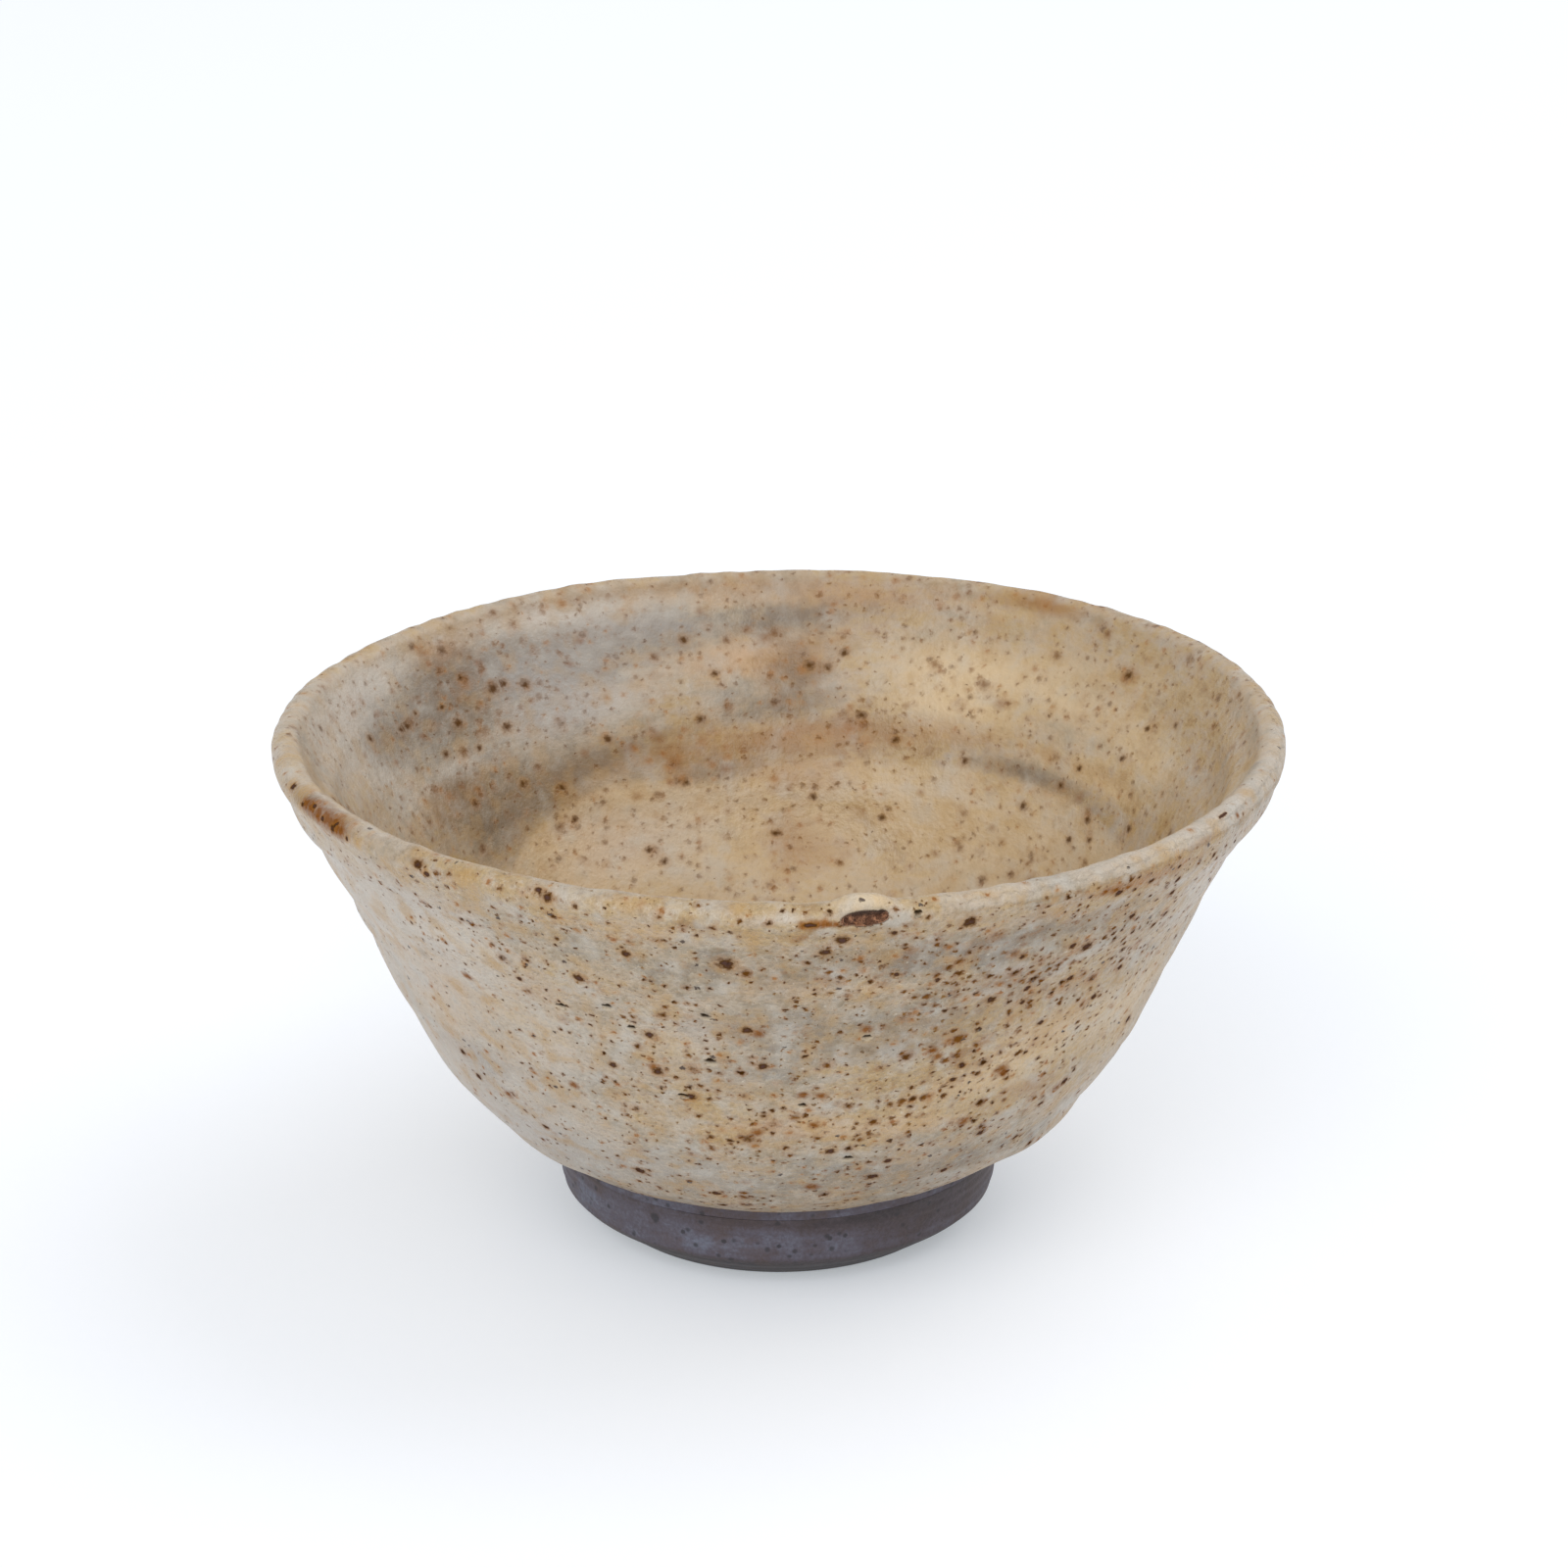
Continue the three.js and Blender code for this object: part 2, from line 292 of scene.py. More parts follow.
def blister(azimuth, rows):
    """The cap's height, how far inside the mouth a point is (1 in the middle, 0 at the edge, negative
    outside), and how high in the mouth it is (-1 at its lower edge, 1 at its upper edge)."""
    u = aside(azimuth, BLISTER_AZIMUTH, finished[rows, :1])
    v = past_crest[rows, None] + MOUTH_BELOW_CREST - MOUTH_TILT * u
    torn_edge = sum(size * np.sin(rate * u + phase) for rate, size, phase in TORN_EDGE)
    rise = v / (MOUTH_HEIGHT / 2 * (1 + np.where(v < 0, torn_edge, 0)))
    squarish = np.abs(u / (MOUTH_WIDTH / 2)) ** MOUTH_SQUARENESS + np.abs(rise) ** MOUTH_SQUARENESS
    knob = 1 - np.hypot(u - KNOB_ASIDE, v - KNOB_RISE) / KNOB_RADIUS
    mouth = np.maximum(1 - squarish ** (1 / MOUTH_SQUARENESS), knob)
    hill = np.exp(-((u / (CAP_WIDTH / 2)) ** 4) - ((v - CAP_ABOVE_MOUTH) / (CAP_RUN / 2)) ** 2)
    return CAP_HEIGHT * hill, mouth, rise


# %% Swells of the wall, small waves of the lip, and the whole relief
LIP_WAVE_DEPTH, LIP_WAVE_REACH, CALM_RADIUS = 0.012, 1.8, 8.0
SMALL_WAVE_TURNS = lump_draw.integers(28, 115, 14)
SMALL_WAVE_PHASES = lump_draw.uniform(0, 6, 14)
SWELLS = [  # azimuth, height, half-widths in degrees and mm, height in mm
    (-74, 22, 34, 14, 0.16), (-73, 37.7, 24, 0.9, 0.4), (-73, 34.3, 24, 1.6, 0.18),
    (-74, 28.7, 20, 0.9, 0.3), (72, 38.5, 24, 1, 0.42), (72, 35, 22, 0.9, -0.28),
    (72, 18.3, 16, 0.7, -0.18), (65, 13.8, 14, 0.7, -0.2), (60, 11.8, 16, 0.9, 0.3),
    (-52, 10.6, 12, 0.6, 0.2),
]


def relief(azimuth, rows):
    """How deep under the plain outline the glaze's face lies: the mouth, less the cap, lumps, swells
    and small waves."""
    cap, mouth = blister(azimuth, rows)[:2]
    waves = sum(np.cos(turns * azimuth + phase) for turns, phase in zip(SMALL_WAVE_TURNS, SMALL_WAVE_PHASES))
    height = lumps(azimuth, path[rows, None]) + washed(azimuth, finished[rows, 1:], SWELLS)
    height = height + LIP_WAVE_DEPTH * np.exp(-((past_crest[rows, None] / LIP_WAVE_REACH) ** 2)) * waves
    grown = smooth(0, CALM_RADIUS, finished[rows, :1])
    return MOUTH_DEPTH * smooth(0, MOUTH_BANK, mouth) - cap - grown * height


# %% [markdown]
# ## Where the glaze changes
# Ash glaze is never one colour. Where it lies thick it turns blue-grey or mauve, where it is thin or
# the kiln had more air it is straw to ochre, and iron in the clay bleeds through as rust and smoky
# stains. Some washes also hold painted light: the smoke washes add painted shade on the left wall
# inside, and the pale ones add painted sheen at the wall's left and right edges and on the lip's
# roll, and painted light inside on the left. Noise alone would put these anywhere, and a painted
# image would be one more file to carry, so the washes are soft ovals placed by azimuth and height,
# summed into values that the mesh keeps.

# %% Outside, light washes: azimuth, height, half-widths in degrees and mm, strength
OUTSIDE = {}
OUTSIDE["tone"] = [  # thick and grey above 0, thin and straw below 0
    (0, 36.7, 45, 2.2, 0.2), (10, 31.5, 14, 2.4, 0.22), (0, 26.5, 8, 3, 0.28), (0, 13.8, 60, 3.4, 0.32),
    (-40, 21, 16, 4, 0.22), (25, 36, 16, 1.9, 0.22), (28, 32.8, 8, 1.5, 0.25), (5, 22.3, 6, 1.4, 0.18),
    (8, 33.9, 12, 1.1, -0.28), (0, 39.8, 20, 1, -0.22), (38, 25.5, 16, 3, -0.18),
    (12, 19.6, 30, 1.7, -0.2), (-28, 31, 8, 4, -0.12), (-45, 31, 12, 5, -0.1), (40, 39.6, 12, 1, -0.3),
    (20, 24, 10, 2.5, -0.1), (45, 21, 10, 2, -0.18), (62, 24, 10, 5, -0.12), (150, 33, 40, 3, -0.3),
    (200, 22, 35, 4, 0.3), (240, 34, 25, 4, -0.25), (120, 20, 25, 3, 0.3),
]
OUTSIDE["cream"] = [
    (30, 23, 12, 2.2, 0.6), (44, 25.5, 14, 3, 0.65), (10, 34, 8, 0.8, 0.35), (9, 42, 4, 0.5, 1),
    (60, 24, 9, 7, 0.45), (16, 20, 14, 1.7, 0.42), (-18, 20, 12, 1.6, 0.25), (-10, 39.7, 16, 1.2, 0.2),
    (170, 28, 30, 4, 0.45), (250, 20, 20, 5, 0.45), (-36, 29, 10, 3.5, 0.28), (-54, 25, 8, 2, 0.2),
    (-55, 25, 8, 2, 0.22),
]
OUTSIDE["peach"] = [
    (-30, 31, 7, 3, 0.3), (-50, 28.5, 10, 4, 0.5), (38, 26, 14, 2.4, 0.45), (25, 22.5, 10, 1.6, 0.4),
    (5, 34.2, 10, 1, 0.45), (0, 20.2, 14, 1.3, 0.45), (20, 19.3, 14, 1, 0.45), (-12, 39.5, 14, 1.1, 0.4),
    (-58, 18, 14, 7, 0.35), (140, 25, 25, 3, 0.45), (215, 36, 25, 2.5, 0.45),
]
# Pale glaze, and painted sheen where the wall turns away at the left and right edges.
OUTSIDE["pale"] = [
    (-66, 27, 18, 13, 0.7), (-20, 28, 10, 2.4, 0.35), (5, 22.2, 6, 1.4, 0.4), (-38, 22, 14, 3, 0.5),
    (-44, 36.5, 15, 3.2, 0.66), (-42, 15.5, 22, 4.2, 0.7), (-58, 14, 14, 5, 0.4), (-14, 14.5, 16, 3, 0.4),
    (-32, 25, 8, 2.2, 0.4), (-40, 32, 7, 3, 0.4), (-10, 29.5, 7, 1.8, 0.45), (-12, 25, 8, 1.6, 0.35),
    (-8, 32.5, 8, 1.4, 0.3), (1, 41.2, 3, 0.5, 0.8), (64, 35.5, 9, 4, 0.65), (62, 14, 9, 4, 0.55),
    (-50, 31, 12, 6, 0.3), (57, 28, 8, 8, 0.25), (-36, 29, 10, 3.5, 0.3), (-62, 36, 6, 4, 0.3),
    (62, 37.5, 6, 2.5, 0.3), (-24, 32.3, 7, 1.2, 0.25), (6, 20, 14, 1.2, 0.28),
]

# %% Outside, dark washes, and where iron specks are many or few
OUTSIDE["rust"] = [
    (40, 21, 5, 1, 0.55), (42, 40.3, 8, 0.7, 0.6), (30, 39.2, 4, 0.8, 0.45), (30, 34.2, 8, 0.8, 0.4),
    (27, 32.5, 6, 1.2, 0.4), (35, 30.6, 6, 1, 0.35), (5, 23.4, 3, 0.5, 0.5), (0, 20, 10, 0.9, 0.3),
    (-17, 25.3, 4, 1, 0.3), (-28, 31, 3, 1.5, 0.25), (20, 30, 8, 0.8, 0.3), (-5, 29.8, 4, 0.5, 0.4),
    (-59.5, 41.4, 5.5, 1, 1.8), (4.2, 40.75, 2.4, 0.3, 0.9), (47, 39.6, 7, 0.8, 0.6),
    (143, 41.8, 6, 0.5, 1), (38.5, 40, 3.5, 0.5, 0.7), (53, 41.1, 4, 0.4, 0.6), (20, 37.5, 18, 1.5, 0.25),
    (190, 38, 10, 1, 0.5), (110, 30, 8, 1.2, 0.5), (230, 27, 8, 1.5, 0.5), (40, 35, 6, 1.2, 0.22),
    (40, 30, 6, 1.2, 0.25), (40, 20, 6, 1.2, 0.2), (40, 37.5, 6, 1.2, 0.25), (18, 27.5, 8, 1.2, 0.18),
    (20, 33, 8, 1.4, 0.15),
]
OUTSIDE["smoke"] = [
    (10, 12.5, 34, 2.2, 0.16), (0, 20, 75, 14, 0.05), (-62.5, 41.4, 4, 0.8, 0.8),
    (-56, 41.3, 2, 0.8, 0.3), (-42, 41.3, 1.2, 0.3, 0.9), (-25, 41.2, 1, 0.3, 0.9),
    (62, 41.6, 2, 0.2, 0.6), (22, 37.4, 18, 1.6, 0.38), (3, 35.8, 14, 1.6, 0.32), (15, 28, 9, 1.6, 0.36),
    (30, 31, 14, 3, 0.25), (4, 39.6, 14, 1, 0.2), (0, 30, 12, 2, 0.24), (20, 30, 9, 1.6, 0.12),
    (40, 37.5, 8, 1.2, 0.28), (-50.9, 31, 1.2, 0.6, 0.7), (-66, 41.4, 2, 0.6, 0.4), (0, 35, 9, 1.2, 0.14),
    (0, 30, 9, 1.4, 0.12), (16, 27.5, 9, 1.4, 0.15), (20, 30, 6, 1.2, 0.3), (10, 40.2, 5, 0.6, 0.2),
    (28, 13.5, 16, 2.6, 0.22), (40, 17.5, 6, 1.4, 0.2), (26, 13.5, 16, 2.4, 0.15), (2, 34, 12, 2.4, 0.14),
    (-57, 41.6, 12, 0.9, 0.42), (24, 37.5, 20, 1.4, 0.16), (14, 27.5, 9, 1.4, 0.2),
    (-4, 30, 9, 1.4, 0.16), (34, 12.5, 14, 1.8, 0.2), (40, 35.5, 6, 2.4, 0.14), (-10, 35, 6, 1.4, 0.12),
    (12, 32.5, 8, 1.2, 0.12), (10, 14.5, 18, 2, 0.12),
]
OUTSIDE["lilac"] = [
    (-45, 15, 22, 5, 0.5), (-50, 21.5, 14, 2, 0.45), (-44, 37.5, 14, 2.5, 0.3),
    (-10, 12.5, 14, 1.6, 0.35), (22, 15, 20, 2.5, 0.35), (-10, 25, 8, 1.5, 0.4), (2, 31, 9, 2.4, 0.35),
    (30, 33, 6, 1.2, 0.35), (-10, 30, 6, 1.5, 0.35), (20, 36.8, 16, 1.4, 0.3), (0, 27, 8, 2, 0.35),
    (200, 24, 40, 3, 0.4),
]
OUTSIDE["iron"] = [
    (30, 32, 24, 8, 0.6), (10, 20, 35, 3, 0.35), (-62, 25, 20, 15, -0.5), (66, 20, 15, 10, -0.35),
]
print("washes outside:", {label: len(spots) for label, spots in OUTSIDE.items()})

# %% Inside, light washes
INSIDE = {}
INSIDE["tone"] = [
    (225, 37, 30, 4.5, 0.3), (200, 38.3, 22, 1.6, 0.35), (245, 35, 16, 5, 0.25), (213, 34, 14, 3, 0.25),
    (186, 32.6, 8, 1.2, 0.25), (172, 33.6, 2.5, 1.6, 0.35), (135, 32.6, 18, 0.9, 0.18),
    (138, 29.2, 9, 0.6, 0.15), (117, 27.8, 7, 0.7, 0.15), (180, 38.6, 9, 0.8, 0.3),
    (120, 31.3, 20, 1, -0.3), (185, 29.3, 26, 1.3, -0.4), (178, 21, 12, 4.5, -0.25),
    (232, 26.6, 10, 1.8, 0.25), (145, 25, 28, 3, -0.12), (115, 37, 14, 4, -0.2), (213, 37, 14, 4, 0.25),
    (243, 29.6, 9, 1.4, -0.25), (30, 25, 60, 6, -0.15), (330, 36, 40, 3, 0.25), (165, 31, 14, 3, -0.2),
    (170, 37.5, 9, 1.8, -0.16), (175, 23, 16, 5, -0.15), (172, 40.5, 12, 1, -0.2),
]
INSIDE["cream"] = [
    (153, 35, 14, 2.8, 1), (135, 37.2, 14, 2.6, 0.5), (118, 34.3, 13, 2.2, 0.6), (205, 22, 16, 4, 0.25),
    (222, 23.6, 9, 2, 0.3), (145, 24, 18, 4, 0.25), (125, 32, 14, 1, 0.25), (150, 32.5, 12, 1.2, 0.4),
    (30, 33, 40, 3, 0.4), (125, 30.6, 20, 1, 0.55), (110, 33.5, 8, 1.6, 0.35), (120, 38.5, 6, 1, 0.3),
    (130, 24.5, 16, 1.6, 0.2), (195, 24.5, 8, 1.5, 0.2), (152, 32.6, 14, 0.8, 0.15),
    (148, 40.4, 10, 0.7, 0.4), (114, 30.5, 8, 0.8, 0.35), (136, 34.5, 7, 1.2, 0.3),
]
INSIDE["peach"] = [
    (188, 35.6, 12, 1.3, 0.8), (180, 36.2, 6, 2, 0.6), (205, 34, 10, 0.9, 0.4), (212, 22.5, 14, 3.5, 0.6),
    (232, 30.8, 8, 0.8, 0.45), (185, 40.3, 30, 0.9, 0.55), (150, 31, 20, 1.2, 0.35),
    (350, 24, 40, 5, 0.4),
]
# Pale glaze, and painted light on the inside's left wall, which lies in shade.
INSIDE["pale"] = [
    (252, 33, 12, 3, 0.6), (203, 38.6, 14, 1.4, 0.6), (217, 33.3, 11, 2.6, 0.85),
    (236, 31.8, 7, 1.2, 0.6), (262, 38, 16, 4, 0.7), (212, 40.4, 16, 1.2, 0.85), (246, 40, 13, 1.6, 0.8),
    (206, 33, 9, 1.4, 0.55), (205, 22, 14, 3.5, 0.55), (218, 24.5, 8, 1.6, 0.35),
    (200, 35.3, 8, 1.6, 0.35), (190, 32.5, 5, 0.8, 0.4), (150, 26.5, 7, 0.8, 0.45),
    (135, 24, 22, 4.5, 0.25), (195, 24.5, 8, 1.6, 0.3),
]

# %% Inside, dark washes and iron
INSIDE["rust"] = [
    (177, 35, 5, 2.4, 0.6), (198, 28.6, 8, 1.2, 0.3), (230, 39.8, 6, 1, 0.7), (180, 29.6, 20, 1.5, 0.5),
    (124, 31, 18, 0.9, 0.3), (155, 30.4, 14, 1, 0.35), (243, 29.5, 10, 1.4, 0.6), (179, 21, 5, 3.4, 0.45),
    (170, 39.6, 14, 1.3, 0.35), (218, 28.6, 10, 0.8, 0.4), (182, 27.5, 14, 2, 0.35),
    (205, 28.4, 10, 1.2, 0.3), (125, 38.3, 2.5, 0.8, 0.6), (196.5, 27.2, 3, 1.2, 0.4),
    (190, 41.2, 45, 0.7, 0.45), (143, 41.4, 6, 0.7, 0.9), (174, 21.5, 9, 2.2, 0.3),
    (175, 26.5, 9, 1.2, 0.35), (130, 28.5, 8, 0.8, 0.4), (180, 34.5, 6, 1.4, 0.4),
    (60, 30, 14, 1.2, 0.45), (320, 26, 12, 2, 0.45), (170, 30.5, 9, 0.9, 0.45), (240, 30.5, 6, 1, 0.3),
    (215, 26.8, 8, 0.8, 0.45), (170, 37.5, 7, 1.6, 0.25), (168, 40.3, 14, 0.8, 0.25),
    (230, 36.6, 8, 2.6, 0.35), (170, 20.5, 7, 1.4, 0.3),
]
# Smoky stains, and painted shade on the left wall inside, around the ridge.
INSIDE["smoke"] = [
    (231, 37, 7, 2.6, 0.85), (233, 34.3, 7, 1.3, 0.5), (247, 35.8, 8, 1.8, 0.55),
    (178, 38.6, 7, 0.9, 0.65), (183, 37.6, 4, 0.6, 0.4), (177, 34.2, 5, 2.2, 0.85),
    (180, 32.2, 6, 1, 0.55), (212, 28.6, 9, 0.9, 0.45), (228, 27.2, 12, 1.8, 0.5),
    (240, 28.4, 10, 2.6, 0.65), (138, 29.3, 9, 0.9, 0.5), (116, 27.9, 7, 0.9, 0.35),
    (190, 28, 16, 2, 0.3), (180, 36.5, 7, 2.5, 0.35), (215, 30, 14, 1.6, 0.45), (226, 28.6, 12, 1.6, 0.4),
    (138, 28.7, 12, 0.8, 0.3), (175, 22, 9, 3, 0.3), (200, 38.2, 14, 1.2, 0.3), (240, 30.6, 8, 1, 0.5),
    (168, 39.4, 9, 1.3, 0.4), (167, 30.6, 9, 1.1, 0.45), (128, 28.6, 9, 0.9, 0.4),
    (188, 27.2, 14, 1.4, 0.3), (180, 40.5, 8, 0.9, 0.3), (228, 31, 12, 1.6, 0.25),
    (250, 34.5, 6, 1.5, 0.25), (250, 28.5, 5, 1.2, 0.3), (219, 26.6, 6, 0.8, 0.5),
    (242, 32.5, 6, 1, 0.25), (250, 36.5, 6, 1.4, 0.25), (235, 24.5, 8, 1.2, 0.4),
    (229, 36.5, 8, 2.2, 0.2), (238, 37.5, 7, 2.4, 0.2), (224, 39, 14, 1.4, 0.18),
]
INSIDE["lilac"] = [
    (215, 36, 14, 3.5, 0.7), (232, 37, 10, 3, 0.5), (200, 38.4, 10, 1.2, 0.5), (190, 37.8, 8, 1, 0.4),
    (215, 32.5, 10, 1.5, 0.4), (252, 38, 10, 3, 0.35), (187, 33, 7, 1, 0.35), (232, 26.4, 7, 1.4, 0.35),
    (230, 25.5, 6, 1.2, 0.3),
]
INSIDE["iron"] = [
    (228, 36, 14, 4, 0.6), (0, 30, 90, 20, -0.15),
]
print("washes inside:", {label: len(spots) for label, spots in INSIDE.items()})

# %% [markdown]
# ## Large specks and pits
# The largest iron spots, rust runs and pits are what the eye knows this cup by, so they are placed
# one by one, in runs where a streak or a burnt patch is built of several. Modelled dots would need a
# very fine mesh; instead each point of the grid keeps its distance from the nearest one, and the
# material cuts ragged shapes from that. The side that is turned away gets specks drawn from a seed.

# %% Specks and pits outside: azimuth, height and radius in mm
MARKS_OUTSIDE = {}
MARKS_OUTSIDE["iron"] = [
    (-5.9, 36.6, 0.75), (-23.9, 33.7, 0.5), (-17.2, 36.8, 0.4), (20.6, 39.9, 0.64), (6.7, 39.2, 0.58),
    (5, 38, 0.46), (38.6, 34.5, 0.6), (44.8, 36.1, 0.4), (51.4, 36.8, 0.42), (51.7, 33.6, 0.35),
    (27, 31.2, 0.48), (36.1, 35.1, 0.38), (29, 35.2, 0.32), (13.4, 35.3, 0.3), (18.6, 34.3, 0.3),
    (-3.9, 29.9, 0.45), (-16.6, 28.7, 0.45), (-2.1, 26.4, 0.45), (-16.3, 25.2, 0.5), (-22.8, 25.1, 0.35),
    (25.5, 24.9, 0.38), (24.8, 23.5, 0.35), (36.6, 27.4, 0.36), (45.6, 28.2, 0.36), (48.1, 19.5, 0.45),
    (61.7, 22.5, 0.5), (15.9, 13.8, 0.55), (7.8, 17.4, 0.45), (33.5, 16.8, 0.45), (44.4, 18, 0.32),
    (44.4, 14.3, 0.4), (30.2, 12.9, 0.4), (-24.4, 13.6, 0.55), (-12.2, 22.9, 0.45), (-53.8, 21.1, 0.4),
    (-52.2, 19.1, 0.36), (-40, 16.4, 0.34), (-11.4, 11.8, 0.4), (49, 30.2, 0.34), (17.8, 15.6, 0.36),
    (-33, 32.2, 0.3), (32, 31.5, 0.36), (32.2, 30.1, 0.3), (38.9, 31.2, 0.42), (12.2, 39.6, 0.32),
    (50, 38.5, 0.38), (39.6, 39.5, 0.42), (-69.1, 41.56, 0.42), (-65.2, 41.15, 0.28), (-62.4, 41.6, 0.28),
    (-59.7, 41.2, 0.28), (-57.2, 41, 0.34), (-56.4, 41.5, 0.2), (-53.9, 40.9, 0.24), (48.9, 39.9, 0.28),
    (56.6, 39.1, 0.3), (44.6, 39.6, 0.36), (42.1, 39.3, 0.28), (57.6, 41.86, 0.15), (58.2, 41.86, 0.16),
    (58.8, 41.86, 0.13), (62, 41.2, 0.16), (62.6, 40.2, 0.14), (62.8, 39.5, 0.18), (-42, 41.2, 0.42),
    (-40.6, 40.7, 0.3), (2.8, 40.7, 0.2), (3.2, 40.72, 0.24), (3.7, 40.72, 0.2), (-25, 41.2, 0.42),
    (-26.2, 41.6, 0.3),
]
MARKS_OUTSIDE["rust"] = [
    (32.5, 23.5, 0.6), (20.4, 27, 0.4), (21.3, 26.3, 0.4), (5.7, 13.1, 0.6), (5.1, 20.3, 0.4),
    (-3.1, 19.6, 0.42), (3.3, 23.4, 0.4), (5.8, 23.3, 0.36), (-2.5, 29.6, 0.45), (33.3, 22.9, 0.36),
    (-16.8, 25.6, 0.42), (11, 29.8, 0.45), (-42.8, 30.5, 0.45), (28.8, 18.8, 0.5), (-45.5, 18.7, 0.45),
    (-30.5, 22.1, 0.4), (2.5, 40.7, 0.34), (3.1, 40.72, 0.42), (3.8, 40.72, 0.38), (4.5, 40.72, 0.3),
    (5.2, 40.74, 0.26), (5.9, 40.78, 0.24), (-64.6, 41.35, 0.55), (-62.8, 41.45, 0.72),
    (-60.8, 41.4, 0.75), (-58.7, 41.4, 0.85), (-57, 41.35, 0.85), (-55.4, 41.15, 0.6), (37.3, 40.1, 0.36),
    (39, 39.9, 0.42), (40.8, 39.8, 0.3), (60.5, 41.4, 0.26),
]
MARKS_OUTSIDE["pit"] = [
    (-8.9, 31.1, 0.42), (-21.4, 31.1, 0.42), (-28.1, 30.2, 0.44), (-18.9, 29.2, 0.36), (-8.9, 26.6, 0.44),
    (10.9, 16.4, 0.44), (-13.4, 22.9, 0.36), (14.6, 41.2, 0.32), (11.2, 29, 0.34), (3.2, 22.3, 0.34),
]

# %% Specks inside
MARKS_INSIDE = {"pit": []}
MARKS_INSIDE["iron"] = [
    (224.5, 36.1, 0.7), (219, 35.8, 0.6), (224.5, 33.2, 0.55), (233, 34.7, 0.6), (231, 32.4, 0.45),
    (243, 36.1, 0.55), (252.5, 36.8, 0.5), (238, 33, 0.45), (125.5, 38.2, 0.6), (117, 35.4, 0.42),
    (111.5, 36.6, 0.42), (118.5, 32.8, 0.45), (126.5, 30.8, 0.42), (108.5, 28.8, 0.5), (120, 27.6, 0.5),
    (117.5, 26.4, 0.4), (122.5, 25.7, 0.45), (129, 29.1, 0.42), (135, 26.8, 0.5), (148.5, 28.9, 0.45),
    (161, 29.7, 0.42), (167, 31.4, 0.55), (172.8, 34.9, 0.45), (175.5, 35, 0.6), (170.5, 36, 0.45),
    (189.5, 34.5, 0.42), (193.5, 37.2, 0.48), (192.3, 31.1, 0.5), (208, 30.5, 0.48), (196, 26.4, 0.48),
    (174, 24.9, 0.42), (161.5, 23.6, 0.45), (218.5, 27.7, 0.48), (217.5, 25, 0.42), (225.5, 28.8, 0.5),
    (202, 20.5, 0.45), (204.5, 21.5, 0.42), (180.5, 22, 0.4), (237, 28.8, 0.45), (231.7, 38.6, 0.3),
    (244.6, 36.1, 0.42), (252.5, 38.9, 0.28), (229, 37.6, 0.34), (222.3, 36.3, 0.42), (240, 36.6, 0.3),
    (234.5, 36.2, 0.3),
]
MARKS_INSIDE["rust"] = [
    (145, 33.7, 0.6), (199.5, 30, 0.55), (182, 37, 0.55), (197.5, 28, 0.55), (126, 37.8, 0.5),
    (189, 27.2, 0.5), (205, 25.8, 0.45), (124, 28.8, 0.5), (233.6, 40.3, 0.45), (231.7, 38.8, 0.4),
    (241.1, 34.9, 0.36), (250, 34.4, 0.36), (247.6, 37.9, 0.34), (225.1, 38.3, 0.4), (242, 38.7, 0.34),
    (212.5, 29.8, 0.4), (204.4, 29.6, 0.36), (190.8, 39.3, 0.42), (184.2, 37.8, 0.42), (208.5, 38, 0.38),
    (210.9, 36.5, 0.34), (238.2, 30.4, 0.36), (256.3, 36.2, 0.3), (160, 32.4, 0.34), (155, 26, 0.34),
    (170, 27.5, 0.36), (165, 24, 0.34), (140, 24.5, 0.36), (150, 21.5, 0.34), (178, 25.6, 0.36),
]

# %% Specks for the side that is turned away
LEAST_SPECK, SPECK_SPAN = 0.28, 0.36
BACK_OUTSIDE, FRONT_INSIDE = (75, 285, 11, 41), (-95, 95, 13, 41)


def drawn_marks(seed, count, from_azimuth, to_azimuth, low, high):
    """Specks drawn with a fixed seed: evenly spread, with many small ones and few large ones."""
    draw = np.random.default_rng(seed)
    radius = LEAST_SPECK + SPECK_SPAN * draw.random(count) ** 2
    azimuth = draw.uniform(from_azimuth, to_azimuth, count)
    return np.stack([azimuth, draw.uniform(low, high, count), radius], 1).tolist()


for marks, label, seed, count, region in (
    (MARKS_OUTSIDE, "iron", 5, 60, BACK_OUTSIDE), (MARKS_OUTSIDE, "rust", 6, 24, BACK_OUTSIDE),
    (MARKS_OUTSIDE, "pit", 7, 14, BACK_OUTSIDE),
    (MARKS_INSIDE, "iron", 8, 34, FRONT_INSIDE), (MARKS_INSIDE, "rust", 9, 14, FRONT_INSIDE),
):
    marks[label] = marks[label] + drawn_marks(seed, count, *region)
print("iron specks:", len(MARKS_OUTSIDE["iron"]), "outside,", len(MARKS_INSIDE["iron"]), "inside")

# %% The nearest speck
FAR = -1.5


def marked(azimuth, rows, marks_out, marks_in):
    """The nearest speck at each point: how far inside it the point is (1 at its middle, 0 at its edge,
    FAR at most outside), and the point's offsets from its middle, across and up, in radii."""
    shape = (len(rows), len(azimuth))
    field, across_mark, up_mark = np.full(shape, FAR), np.zeros(shape), np.zeros(shape)
    outer_stretch, inner_stretch = np.arange(crest_row), np.arange(crest_row, last_row)
    for marks, stretch, upward in ((marks_out, outer_stretch, 1), (marks_in, inner_stretch, -1)):
        order = stretch[np.argsort(finished[stretch, 1])]
        for middle, level, radius in marks:
            u = aside(azimuth, middle, finished[rows, :1]) / radius
            v = (path[rows, None] - np.interp(level, finished[order, 1], path[order])) / radius
            depth = 1 - np.hypot(u, v)
            nearer = depth > field
            field = np.where(nearer, depth, field)
            across_mark = np.where(nearer, u, across_mark)
            up_mark = np.where(nearer, upward * v, up_mark)
    return field, across_mark, up_mark
